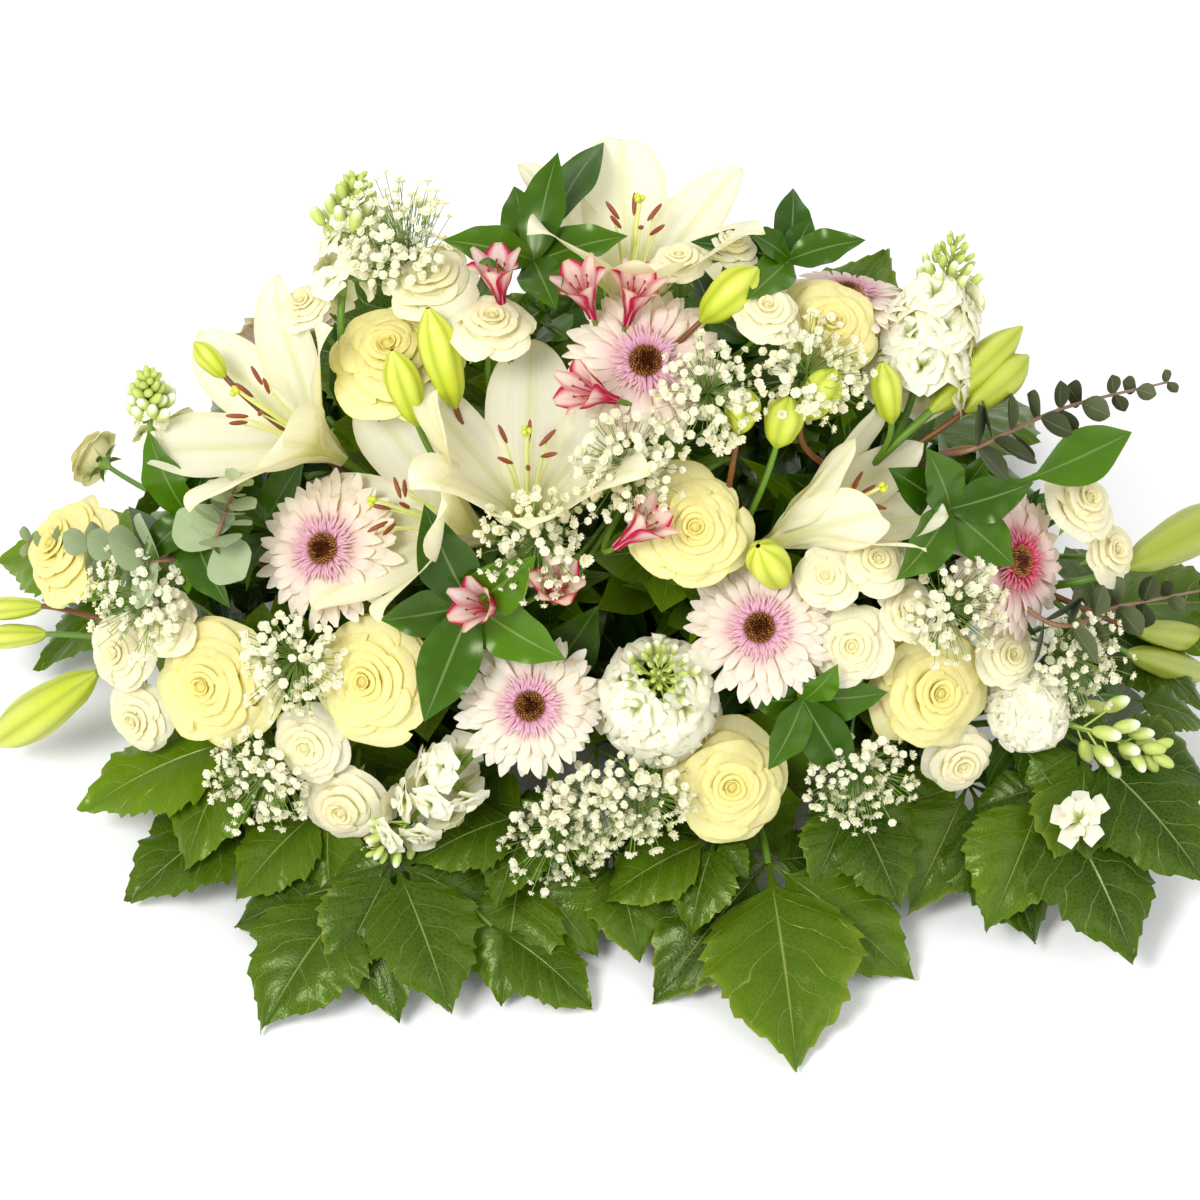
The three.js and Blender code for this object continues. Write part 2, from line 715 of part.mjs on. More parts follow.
function lilyHeart(matrix, open) {
  const pieces = [];
  for (let i = 0; i < LILY.stamens; i += 1) {
    const angle = radians(45 + (i * 360) / LILY.stamens);
    const line = [
      [3, LILY.base + 7],
      [7 + 3 * open, 4],
      [6 + 13 * open, LILY.stamenHeight - 6],
      [7 + 14 * open, LILY.stamenHeight],
    ].map(([radius, height]) => vector(radius * Math.cos(angle), radius * Math.sin(angle), height));
    pieces.push(pieceOf(stalkGeometry(line, [1.1, LILY.anther]), matrix));
  }
  const pistil = [1, 80, 92, 96].map((height) => vector(0, 0, LILY.base + height));
  pieces.push(pieceOf(stalkGeometry(pistil, [1.5, 3]), matrix));
  return pieces;
}

// Buds on side stalks
function budEnds(bud) {
  const base = onDome(bud.base, bud.baseReach ?? 1.0);
  const tip = bud.tipHeight ? onLevel(bud.tip, bud.tipHeight) : onDome(bud.tip, bud.tipReach ?? 1.04);
  return { base, tip, facing: tip.clone().sub(base).normalize() };
}

function growBuds(plant, buds) {
  for (const bud of buds) {
    const { base, tip, facing } = budEnds(bud);
    plant.blooms.push(pieceOf(budGeometry(base, tip, bud.width)));
    askForStalk(plant, { base: base.clone().addScaledVector(facing, 5), facing, radii: [2.2, 1.8] });
  }
}

function buildLilies() {
  LILIES.forEach((row, i) => {
    const plant = newPlant(`lily_${i + 1}`, COLOURS.lily);
    const { point, facing } = spot(row);
    const open = row.open ?? 1;
    const matrix = frameAt(point, facing, row.spin ?? 0);
    growStem(plant, point.clone().addScaledVector(facing, LILY.base + 1), facing, LILY.stalk);
    plant.blooms.push(pieceOf(lilyCorolla(open), matrix), ...lilyHeart(matrix, open));
    growBuds(plant, row.buds ?? []);
    plants.push(plant);
  });
  LILY_BUDS.forEach(([first, ...others], i) => {
    const plant = newPlant(`lily_buds_${i + 1}`, COLOURS.bud);
    const { base, tip, facing } = budEnds(first);
    growStem(plant, base.clone().addScaledVector(facing, 5), facing, LILY.stalk);
    plant.blooms.push(pieceOf(budGeometry(base, tip, first.width)));
    growBuds(plant, others);
    plants.push(plant);
  });
}

// Gerberas: two layers of ray petals round a disc, as one skin
const GERBERA = { petals: 10, disc: 0.3, depth: 6, stalk: 2.8 };

function gerberaGeometry(width) {
  const size = width / 2;
  const count = GERBERA.petals;
  const rings = [
    ring(count, size * 0.24, -GERBERA.depth),
    ring(count, size * GERBERA.disc, -1.5),
    ring(count, size * 0.28, 3),
    ring(count, size * 0.22, 6),
  ];
  const points = [...rings.flat(), vector(0, 0, 4)];
  const last = points.length - 1;
  const place = (level, column) => level * count + (column % count);
  const triangles = [];
  for (let i = 1; i < count - 1; i += 1) triangles.push([0, i + 1, i]);
  const petal = (level, i, lean, reach, tipHeight) => {
    const polar = (share, radius, height) => {
      const angle = ((i + lean + share) / count) * Math.PI * 2;
      return points.push(vector(radius * Math.cos(angle), radius * Math.sin(angle), height)) - 1;
    };
    const near = polar(0.06, reach * 0.72, tipHeight * 0.8);
    const tip = polar(0.5, reach, tipHeight);
    const far = polar(0.94, reach * 0.72, tipHeight * 0.8);
    const crest = polar(0.5, reach * 0.68, tipHeight * 0.8 + 1.8);
    const [low, lowNext] = [place(level, i), place(level, i + 1)];
    const [high, highNext] = [place(level + 1, i), place(level + 1, i + 1)];
    triangles.push([crest, high, near], [crest, near, tip], [crest, tip, far]);
    triangles.push([crest, far, highNext], [crest, highNext, high]);
    triangles.push([tip, near, low], [tip, low, lowNext], [tip, lowNext, far]);
    triangles.push([near, high, low], [highNext, far, lowNext]);
  };
  for (let i = 0; i < count; i += 1) {
    petal(0, i, 0, size, -4 + 2 * (i % 2));
    petal(1, i, 0.5, size * 0.86, 4 + (i % 2));
    triangles.push([place(2, i), place(2, i + 1), place(3, i + 1)]);
    triangles.push([place(2, i), place(3, i + 1), place(3, i)]);
    triangles.push([last, place(3, i), place(3, i + 1)]);
  }
  return geometryOf(points, triangles);
}

function buildGerberas() {
  GERBERAS.forEach((row, i) => {
    const plant = newPlant(`gerbera_${i + 1}`, COLOURS.gerbera);
    const { point, facing } = spot(row);
    growStem(plant, point.clone().addScaledVector(facing, 2 - GERBERA.depth), facing, GERBERA.stalk);
    plant.blooms.push(pieceOf(gerberaGeometry(row.width), frameAt(point, facing, 7 * i)));
    plants.push(plant);
  });
}

// Roses: crests and valleys of petals, each crest scalloped
const ROSE = { columns: 9, stalk: 3, depth: 0.66 };

function roseGeometry(width) {
  const size = width / 2;
  const columns = ROSE.columns;
  const rings = [
    ring(columns, size * 0.36, size * -0.66, 0.06),
    ring(columns, size * 0.84, size * -0.18, 0.04, 0, 0.2),
    ring(columns, size * 0.98, size * 0.1, 0.07, size * 0.05, 0.3),
    ring(columns, size * 0.74, size * 0.0, 0.03, 0, 0.3),
    ring(columns, size * 0.72, size * 0.3, 0.06, size * -0.05, 0.6),
    ring(columns, size * 0.5, size * 0.2, 0.02, 0, 0.6),
    ring(columns, size * 0.4, size * 0.42, 0.08, size * 0.05, 0.9),
  ];
  return ringedGeometry(null, rings, vector(0, 0, size * 0.3));
}

function buildRoses() {
  ROSES.forEach((row, i) => {
    const plant = newPlant(`rose_${i + 1}`, COLOURS.rose);
    const { point, facing } = spot(row);
    const depth = row.width * 0.5 * ROSE.depth;
    growStem(plant, point.clone().addScaledVector(facing, 4 - depth), facing, ROSE.stalk);
    plant.blooms.push(pieceOf(roseGeometry(row.width), frameAt(point, facing, 23 * i)));
    plants.push(plant);
  });
}

// Sprays: several heads on stalks that part from one stem
function smallRoseGeometry(width) {
  const size = width / 2;
  const rings = [
    ring(8, size, size * 0.1, 0.1, size * 0.06),
    ring(8, size * 0.62, size * 0.04, 0.03, 0, 0.3),
    ring(8, size * 0.5, size * 0.4, 0.12, size * -0.05, 0.5),
  ];
  return ringedGeometry(vector(0, 0, -size * 0.8), rings, vector(0, 0, size * 0.2));
}

function alstroemeriaGeometry() {
  return corollaGeometry({
    petals: 6,
    funnel: -24,
    root: { radius: 5, height: -6, half: 2.5 },
    half: 0.8,
    cup: 0.2,
    rowsOf: (i) => [
      [13, 5, i % 2 === 0 ? 6.6 : 5.6],
      [20, i % 2 === 0 ? 10 : 13, 0],
    ],
  });
}

function buildSpray({ name, colour, heads, depthOf, headGeometry, radius }) {
  const plant = newPlant(name, colour);
  heads.forEach((head, i) => {
    const { point, facing } = spot(head, head.reach ?? 0.99);
    const base = point.clone().addScaledVector(facing, -depthOf(head));
    plant.blooms.push(pieceOf(headGeometry(head), frameAt(point, facing, 40 * i)));
    if (i === 0) growStem(plant, base, facing, radius);
    else askForStalk(plant, { base, facing, radii: [radius, radius * 0.8] });
  });
  plants.push(plant);
}

function buildSprayRoses() {
  SPRAY_ROSES.forEach(({ heads }, i) => {
    buildSpray({
      name: `spray_rose_${i + 1}`,
      colour: COLOURS.sprayRose,
      heads,
      radius: 2.2,
      depthOf: (head) => head.width * 0.3,
      headGeometry: (head) => smallRoseGeometry(head.width),
    });
  });
}

function buildAlstroemerias() {
  ALSTROEMERIAS.forEach(({ heads }, i) => {
    buildSpray({
      name: `alstroemeria_${i + 1}`,
      colour: COLOURS.alstroemeria,
      heads,
      radius: 2.2,
      depthOf: () => 23,
      headGeometry: alstroemeriaGeometry,
    });
  });
}

// Stock: ruffled florets round a slim core, and buds at the tip
const STOCK = { stalk: 2.8, turn: 137.5, buds: 3, bud: 5 };

function stockFlorets(row, frame, length) {
  const draw = seeded(11 + row.florets);
  const core = row.width * 0.2;
  const count = row.florets + STOCK.buds;
  return Array.from({ length: count }, (_, i) => {
    const open = i < row.florets;
    const share = open ? 0.06 + 0.6 * (i / row.florets) : 0.72 + 0.09 * (i - row.florets);
    const angle = radians(i * STOCK.turn);
    const sunk = open ? core * (1 - 0.3 * share) * 0.6 : 0;
    const tilt = open ? 0.25 + share * 0.5 + 0.1 * draw() : 1;
    const out = vector(Math.cos(angle), Math.sin(angle), tilt).normalize();
    const foot = vector(sunk * Math.cos(angle), sunk * Math.sin(angle), length * share);
    const turn = new THREE.Quaternion().setFromUnitVectors(vector(0, 0, 1), out);
    const matrix = frame
      .clone()
      .multiply(new THREE.Matrix4().makeTranslation(...foot.toArray()))
      .multiply(new THREE.Matrix4().makeRotationFromQuaternion(turn));
    const radius = open ? row.width * 0.18 : STOCK.bud;
    const rim = open
      ? ring(6, radius, row.width * 0.17, 0.16, radius * 0.12)
      : ring(4, radius, core * 0.3 + radius);
    const height = open ? row.width * 0.15 : core * 0.3 + 2.2 * radius;
    return pieceOf(ringedGeometry(vector(0, 0, 0), [rim], vector(0, 0, height)), matrix);
  });
}

function buildStocks() {
  STOCKS.forEach((row, index) => {
    const plant = newPlant(`stock_${index + 1}`, COLOURS.stock);
    const base = onDome(row.base, row.baseReach);
    const tip = onDome(row.tip, row.tipReach);
    const length = base.distanceTo(tip);
    const facing = tip.clone().sub(base).normalize();
    const frame = frameAt(base, facing);
    growStem(plant, base.clone().addScaledVector(facing, 2), facing, STOCK.stalk);
    const core = ringedGeometry(
      vector(0, 0, -5),
      [ring(6, row.width * 0.2, length * 0.08), ring(6, row.width * 0.16, length * 0.6)],
      vector(0, 0, length),
    );
    plant.blooms.push(pieceOf(core, frame), ...stockFlorets(row, frame, length));
    plants.push(plant);
  });
}

// Gypsophila: clusters of tiny round florets on fine stalks
const GYPSOPHILA_SPRAY = { florets: 4, spread: 22, size: 4.4, drop: 34, stalk: 1.8, reach: 1.04 };

// A point of a line at a distance back from its end
function backFromEnd(line, distance) {
  let left = distance;
  for (let i = line.length - 1; i > 0; i -= 1) {
    const length = line[i].distanceTo(line[i - 1]);
    if (left <= length) return line[i].clone().lerp(line[i - 1], left / length);
    left -= length;
  }
  return line[0].clone();
}

function gypsophilaCluster(line, frame, draw) {
  const { florets, spread, size, drop } = GYPSOPHILA_SPRAY;
  return Array.from({ length: florets }, (_, i) => {
    const angle = ((i + 0.4 * draw()) / florets) * Math.PI * 2;
    const away = spread * (0.6 + 0.4 * draw());
    const head = vector(away * Math.cos(angle), away * Math.sin(angle), 4 + 8 * draw());
    const foot = backFromEnd(line, 2 + (drop * i) / florets);
    return pieceOf(floretOnStalk(foot, head.applyMatrix4(frame), size));
  });
}

function buildGypsophila() {
  GYPSOPHILA.forEach((clusters, index) => {
    const plant = newPlant(`gypsophila_${index + 1}`, COLOURS.gypsophila);
    const draw = seeded(71 + index);
    const { stalk } = GYPSOPHILA_SPRAY;
    clusters.forEach((pixel, k) => {
      const point = onDome(pixel, GYPSOPHILA_SPRAY.reach);
      const out = outwardFrom(point);
      const dress = (line) => plant.blooms.push(...gypsophilaCluster(line, frameAt(point, out), draw));
      if (k === 0) {
        growStem(plant, point, out, stalk);
        dress(plant.line);
      } else {
        askForStalk(plant, { base: point, facing: out, radii: [stalk, stalk * 0.8], dress });
      }
    });
    plants.push(plant);
  });
}

// A floret and its own stalk as one skin: the ball starts where the stalk ends
function floretOnStalk(foot, head, size) {
  const frame = frameAt(head, head.clone().sub(foot).normalize());
  const neck = ring(4, 0.9, -size).map((corner) => corner.applyMatrix4(frame));
  const rim = ring(4, size, 0).map((corner) => corner.applyMatrix4(frame));
  return ringedGeometry(foot, [neck, rim], vector(0, 0, size * 0.8).applyMatrix4(frame));
}

// Eucalyptus: round leaves in pairs along a shoot
const EUCALYPTUS_SHOOT = { stalk: 2.2, first: 0.4, span: 0.44 };

function eucalyptusLeaves(line, leaf, pairs) {
  const { first, span } = EUCALYPTUS_SHOOT;
  return Array.from({ length: pairs * 2 }, (_, i) => {
    const step = Math.floor(i / 2);
    const way = i % 2 === 0 ? 1 : -1;
    const share = first + (step / (pairs - 1)) * span;
    const middle = alongLine(line, share);
    const along = alongLine(line, share + 0.04).sub(middle).normalize();
    const out = outwardFrom(middle);
    const across = along.clone().cross(out).normalize();
    const axis = step % 2 === 0 ? across : out.clone().lerp(across, 0.5).normalize();
    const size = leaf * (1 - 0.3 * (step / pairs));
    const toward = axis.multiplyScalar(way).addScaledVector(along, 0.3).normalize();
    const foot = middle.addScaledVector(toward, 0.2);
    const spine = [0, 0.7, 1.45, 2].map((reach) => foot.clone().addScaledVector(toward, reach * size));
    const side = toward.clone().cross(along.addScaledVector(out, 0.3)).normalize();
    return pieceOf(bladeGeometry({ spine, widths: [size * 0.8, size * 0.72], side, half: 0.8 }));
  });
}

function buildEucalyptus() {
  EUCALYPTUS.forEach(({ shoots, leaf, pairs }, index) => {
    const plant = newPlant(`eucalyptus_${index + 1}`, COLOURS.eucalyptus);
    const paths = shoots.map((pixels) => pixels.map((pixel) => onDome(pixel, 1.03)));
    const foot = paths[0][0];
    growStem(plant, foot, outwardFrom(foot), EUCALYPTUS_SHOOT.stalk);
    paths.forEach((points, i) => {
      const curve = new THREE.CatmullRomCurve3([alongLine(plant.line, 0.8 - 0.12 * i), ...points]);
      const line = curve.getSpacedPoints(5);
      plant.stalks.push(pieceOf(stalkGeometry(line, [2.2, 2, 1.8, 1.4])));
      plant.blooms.push(...eucalyptusLeaves(line, leaf, pairs - i));
    });
    plants.push(plant);
  });
}

// Ruscus: pointed glossy leaves from the end of a stem, on a stalk of their own where the way is long
const LONGEST_RUSCUS_LEAF = 84;

function ruscusLeaf(end, outward, tip, width, lift) {
  const way = tip.clone().sub(end);
  const length = way.length();
  way.normalize();
  const side = way.clone().cross(outwardFrom(tip)).normalize();
  const rise = side.clone().cross(way).normalize();
  const start = end.clone().addScaledVector(way, -2).addScaledVector(outward, lift);
  const half = Math.min(width, length * 0.5) / 2;
  const stalk = Math.max(0, 1 - LONGEST_RUSCUS_LEAF / length);
  const shares = [0.4, 0.74].map((share) => stalk + share * (1 - stalk));
  const widths = [half, half * 0.8];
  if (stalk > 0) {
    shares.unshift(stalk);
    widths.unshift(1.6);
  }
  const spine = [0, ...shares, 1].map((share) =>
    start.clone().lerp(tip, share).addScaledVector(rise, length * 0.3 * share * (1 - share)),
  );
  return pieceOf(bladeGeometry({ spine, widths, side, half: 0.9, cup: 0.15 }));
}

function buildRuscus() {
  RUSCUS.forEach(({ at, tips, width }, index) => {
    const plant = newPlant(`ruscus_${index + 1}`, COLOURS.ruscus);
    const end = onDome(at, 0.98);
    const outward = outwardFrom(end);
    growStem(plant, end, outward, 2.4);
    const knob = ringedGeometry(vector(0, 0, -7), [ring(5, 4.5, 0)], vector(0, 0, 7));
    plant.blooms.push(pieceOf(knob, frameAt(end, outward)));
    tips.forEach((pixel, i) => {
      const high = i % 2 === 0;
      const tip = onDome(pixel, high ? 1.06 : 1.0);
      plant.blooms.push(ruscusLeaf(end, outward, tip, width, high ? 2 : -1));
    });
    plants.push(plant);
  });
}

// Large leaves of broad toothed leaflets that part from one point and lie over each other. A leaflet
// is its angle from the middle one, its length as a share of the leaf's, and how far it dips.
const LEAFLETS = [
  { angle: 0, share: 1, dip: 0 },
  { angle: -46, share: 0.82, dip: 11 },
  { angle: 46, share: 0.82, dip: 11 },
  { angle: -94, share: 0.56, dip: 20 },
  { angle: 94, share: 0.56, dip: 20 },
];
const LEAFLET = { arch: 0.28, cup: 0, half: 1, palm: 6 };

// A leaflet's edge is half widths at shares of the way along, all as shares of its length.
const LEAFLET_EDGES = {
  cut: [[0.14, 0.03], [0.34, 0.3], [0.55, 0.34], [0.6, 0.27], [0.78, 0.2], [0.82, 0.13]],
  plain: [[0.14, 0.03], [0.38, 0.32], [0.6, 0.31], [0.65, 0.22]],
  hidden: [[0.14, 0.03], [0.5, 0.34]],
};

function leafletGeometry(base, tip, { angle, share, dip }, edge) {
  const forward = tip.clone().sub(base);
  const length = forward.length() * share;
  forward.normalize();
  const side = forward.clone().cross(vector(0, 0, 1)).normalize();
  const turn = new THREE.Quaternion().setFromAxisAngle(side.clone().cross(forward), radians(-angle));
  side.applyQuaternion(turn);
  forward.applyQuaternion(turn).applyAxisAngle(side, radians(-dip));
  const normal = side.clone().cross(forward);
  const spine = [0, ...edge.map(([place]) => place), 1].map((place) =>
    base
      .clone()
      .addScaledVector(forward, length * place)
      .addScaledVector(normal, LEAFLET.arch * length * place * (1 - place)),
  );
  const widths = edge.map(([, width]) => width * length);
  return bladeGeometry({ spine, widths, side, half: LEAFLET.half, cup: LEAFLET.cup });
}

function leafPieces(base, tip, full, hidden) {
  const leaflets = full ? LEAFLETS : LEAFLETS.slice(0, 3);
  const { cut, plain, hidden: bare } = LEAFLET_EDGES;
  const edges = hidden ? [bare, bare] : [cut, plain];
  const palm = ringedGeometry(vector(0, 0, -4), [ring(5, LEAFLET.palm, 0)], vector(0, 0, 4));
  return [
    pieceOf(palm, frameAt(base, vector(0, 0, 1))),
    ...leaflets.map((leaflet, i) => pieceOf(leafletGeometry(base, tip, leaflet, edges[Math.min(i, 1)]))),
  ];
}

function placeOf({ at, height, place }) {
  return place ? vector(...place) : onLevel(at, height);
}

function buildLeafBranches() {
  LEAF_BRANCHES.forEach((leaves, index) => {
    const plant = newPlant(`leaf_branch_${index + 1}`, COLOURS.foliage);
    leaves.forEach((leaf, i) => {
      const [base, tip] = [placeOf(leaf.base), placeOf(leaf.tip)];
      const way = tip.clone().sub(base).normalize();
      plant.blooms.push(...leafPieces(base, tip, leaf.full, Boolean(leaf.tip.place)));
      const inside = base.clone().addScaledVector(way, 2);
      if (i === 0) growStem(plant, inside, way, 3);
      else askForStalk(plant, { base: inside, facing: way, radii: [2.6, 1.8] });
    });
    plants.push(plant);
  });
}

const plants = [];
buildLilies();
buildGerberas();
buildRoses();
buildSprayRoses();
buildStocks();
buildAlstroemerias();
buildRuscus();
buildEucalyptus();
buildLeafBranches();
buildGypsophila();
plants.forEach((plant) => plant.asked.forEach((stalk) => growStalk(plant, stalk)));

// Cutting: every bloom is cut by the stems of the others and by the blooms before it.
function boxesMeet(a, b) {
  const [first, second] = [a.boundingBox(), b.boundingBox()];
  return [0, 1, 2].every((axis) => first.min[axis] < second.max[axis] && second.min[axis] < first.max[axis]);
}

function largestBody(solid) {
  return solid.decompose().reduce((best, body) => (body.volume() > best.volume() ? body : best));
}

const SMOOTHING = 0.04;

function cutAway(solid, guards) {
  const meeting = guards.filter((guard) => boxesMeet(solid, guard));
  return meeting.length ? solid.subtract(wasm.Manifold.union(meeting)) : solid;
}

function meshOf(name, solid, colour, anchor, roughness) {
  const { vertProperties, triVerts, numProp } = solid.getMesh();
  const points = [];
  for (let i = 0; i < vertProperties.length; i += numProp) {
    points.push(vector(vertProperties[i], vertProperties[i + 1], vertProperties[i + 2]).sub(anchor));
  }
  const geometry = new THREE.BufferGeometry().setFromPoints(points);
  geometry.setIndex(Array.from(triVerts));
  geometry.computeVertexNormals();
  const mesh = new THREE.Mesh(geometry, new THREE.MeshStandardMaterial({ color: colour, roughness, metalness: 0 }));
  mesh.name = name;
  mesh.position.copy(anchor);
  return mesh;
}

const spray = new THREE.Group();
spray.name = 'casket_spray';

const united = (pieces, part) => wasm.Manifold.union(pieces.map((piece) => piece[part]));
const stalkGuards = plants.map(({ stalks }) => united(stalks, 'guard'));
const bloomGuards = [];
plants.forEach(({ name, colour, anchor, stalks, blooms }, i) => {
  const guards = [...stalkGuards.filter((_, k) => k !== i), ...bloomGuards];
  const heads = cutAway(united(blooms, 'solid'), guards);
  const whole = largestBody(wasm.Manifold.union([heads, united(stalks, 'solid')]).simplify(SMOOTHING));
  bloomGuards.push(...blooms.map((piece) => piece.guard));
  spray.add(meshOf(name, whole, colour, anchor, 0.6));
});

// The holder
const trayOutline = (length, depth, corner) => {
  const [x, y] = [length / 2, depth / 2];
  return new THREE.Shape([
    new THREE.Vector2(-x + corner, -y),
    new THREE.Vector2(x - corner, -y),
    new THREE.Vector2(x, -y + corner),
    new THREE.Vector2(x, y - corner),
    new THREE.Vector2(x - corner, y),
    new THREE.Vector2(-x + corner, y),
    new THREE.Vector2(-x, y - corner),
    new THREE.Vector2(-x, -y + corner),
  ]);
};

const raised = (shape, height, lift) =>
  new THREE.ExtrudeGeometry(shape, { depth: height, bevelEnabled: false }).translate(0, 0, lift);

const trayOuter = pieceOf(raised(trayOutline(TRAY.length, TRAY.depth, TRAY.corner), TRAY.height, 0));
const trayInner = pieceOf(
  raised(
    trayOutline(TRAY.length - 2 * TRAY.wall, TRAY.depth - 2 * TRAY.wall, TRAY.corner - TRAY.wall),
    TRAY.height,
    TRAY.floor,
  ),
);
const guards = [...stalkGuards, ...bloomGuards];
const tray = largestBody(cutAway(trayOuter.solid.subtract(trayInner.solid), guards));
const block = pieceOf(
  new THREE.BoxGeometry(FOAM.length, FOAM.depth, FOAM.height).translate(0, 0, FOAM.lift + FOAM.height / 2),
);
const foam = largestBody(cutAway(block.solid, guards));
spray.add(meshOf('tray', tray, COLOURS.tray, vector(0, 0, 0), 0.5));
spray.add(meshOf('foam', foam, COLOURS.foam, vector(0, 0, FOAM.lift), 0.95));

export default spray;
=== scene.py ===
import math

import bpy
import numpy as np
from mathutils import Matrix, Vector


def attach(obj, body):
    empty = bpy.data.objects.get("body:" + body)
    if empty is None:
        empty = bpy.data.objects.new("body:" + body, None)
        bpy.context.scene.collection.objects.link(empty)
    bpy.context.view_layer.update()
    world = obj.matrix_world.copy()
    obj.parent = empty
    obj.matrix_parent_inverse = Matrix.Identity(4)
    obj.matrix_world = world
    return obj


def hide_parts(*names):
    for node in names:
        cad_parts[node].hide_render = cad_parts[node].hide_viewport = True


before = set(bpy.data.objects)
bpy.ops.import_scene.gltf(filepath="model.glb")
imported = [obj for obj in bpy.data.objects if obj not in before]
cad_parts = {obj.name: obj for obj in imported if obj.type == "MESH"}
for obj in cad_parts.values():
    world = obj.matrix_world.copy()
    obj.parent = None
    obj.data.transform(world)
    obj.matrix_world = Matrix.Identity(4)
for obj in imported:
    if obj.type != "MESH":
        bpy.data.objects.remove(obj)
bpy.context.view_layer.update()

# Sizes are in millimetres until a plant becomes a mesh.
METRE = 1000.0
FOAM_HALF = (150.0, 65.0)
FOAM_TOP = 95.3
DOME_CENTRE = 40.0  # the height of the middle of the dome that the blooms lie on
DOME = np.array([410.0, 250.0, 400.0])  # its radii
RISE = math.radians(45)  # how steeply the camera looks down
DISTANCE = 3000.0
MM_PER_PIXEL = 0.7
PICTURE = 1200  # pixels along each side of the photograph
GOLDEN = math.radians(137.5)  # the angle from one leaf or floret to the next
DEEPEST = 0.85  # the share of the dome that the leaves under the blooms reach to
RIGHT = np.array([1.0, 0.0, 0.0])
UP = np.array([0.0, math.sin(RISE), math.cos(RISE)])
TOWARD = np.array([0.0, -math.cos(RISE), math.sin(RISE)])
LEVEL_NORMAL = np.array([0.0, 0.0, 1.0])
BACK = np.array([0.0, 1.0, 0.25])  # the way that leaves lie back over the foam
AIM = np.array([0.0, 0.0, 57.0])
EYE = AIM + DISTANCE * TOWARD

# The camera, as the photograph was taken
camera = bpy.data.objects.new("camera", bpy.data.cameras.new("camera"))
bpy.context.scene.collection.objects.link(camera)
camera.location = Vector(EYE / METRE)
camera.rotation_mode = "QUATERNION"
camera.rotation_quaternion = Vector(-TOWARD).to_track_quat("-Z", "Y")
camera.data.sensor_width = 36.0
camera.data.lens = camera.data.sensor_width * DISTANCE / (PICTURE * MM_PER_PIXEL)
camera.data.clip_end = 50.0
bpy.context.scene.camera = camera


# The blooms of the photograph. A place in it is a pixel of the 1200 x 1200 picture.
def bloom(x, y, right, up, width=None, reach=0.99, **others):
    """A bloom: the pixel of its middle, how far it is turned to the right and up from the line to the
    viewer, its width, and its share of the dome's radius."""
    return dict(at=(x, y), faces=(right, up), width=width, reach=reach, **others)


def rear_bloom(turn, rise, width=None, reach=0.99, **others):
    """A bloom at the back, by its turn round from the back and its rise above the level."""
    return dict(behind=(turn, rise), width=width, reach=reach, **others)


def bud(base_x, base_y, tip_x, tip_y, width, **others):
    """A closed bud, by the pixels of its base and its tip."""
    return dict(base=(base_x, base_y), tip=(tip_x, tip_y), width=width, **others)


LILIES = [
    bloom(296, 430, -50, 26, reach=0.92, buds=[bud(226, 378, 194, 342, 15)]),
    bloom(527, 492, 0, 44, reach=0.92, buds=[
        bud(456, 408, 428, 308, 26, base_reach=0.93), bud(418, 426, 392, 350, 22, base_reach=0.93),
    ]),
    bloom(440, 522, -54, 14, reach=0.88, spin=26),
    bloom(632, 272, 8, 56, reach=0.9, buds=[bud(700, 322, 758, 268, 27)]),
    bloom(816, 520, 56, 22, reach=0.92, open=0.58, buds=[
        bud(738, 434, 746, 388, 22), bud(776, 448, 790, 396, 24),
        bud(782, 584, 758, 546, 26, base_reach=0.94, tip_reach=1.05),
    ]),
    rear_bloom(4, 12, reach=0.94, spin=30),
]

LILY_BUDS = [
    [
        bud(928, 414, 1022, 327, 23), bud(964, 412, 1028, 356, 25), bud(892, 424, 882, 362, 20),
        bud(802, 420, 838, 368, 25),
    ],
    [bud(1124, 568, 1236, 508, 31), bud(1132, 628, 1212, 642, 20), bud(1126, 652, 1208, 676, 21)],
    [
        bud(98, 672, -8, 745, 31, tip_height=34), bud(44, 606, -22, 610, 16, tip_height=76),
        bud(48, 634, -20, 638, 17, tip_height=60),
    ],
]

GERBERAS = [
    bloom(328, 550, -24, 8, 108, 0.92, flush=0.4),
    bloom(645, 364, 2, 14, 108, 0.96, flush=0.45),
    bloom(530, 705, 0, -4, 102, 0.96, flush=0.15),
    bloom(760, 628, -4, 2, 102, 0.96, flush=0.35),
    bloom(1012, 562, 42, 4, 108, 0.96, flush=1.0),
    bloom(846, 300, 14, 66, 104, 0.92, flush=0.35),
    rear_bloom(-36, 12, 108, 0.98, flush=0.5),
]

ROSES = [
    bloom(692, 527, 8, 4, 80, 0.97),
    bloom(727, 783, 8, -12, 82, 0.97),
    bloom(374, 678, -20, -4, 88, 0.98),
    bloom(215, 684, -22, -8, 92, 0.98),
    bloom(68, 550, -44, 16, 80, 1.0),
    bloom(828, 328, 6, 22, 72, 0.98),
    bloom(930, 690, 24, -6, 86, 0.97),
    bloom(394, 358, -10, 30, 88, 0.93),
    rear_bloom(34, 14, 86, 0.98),
]

SPECKED_ROSES = (2, 7)  # the roses with red specks on the rims of their outer petals

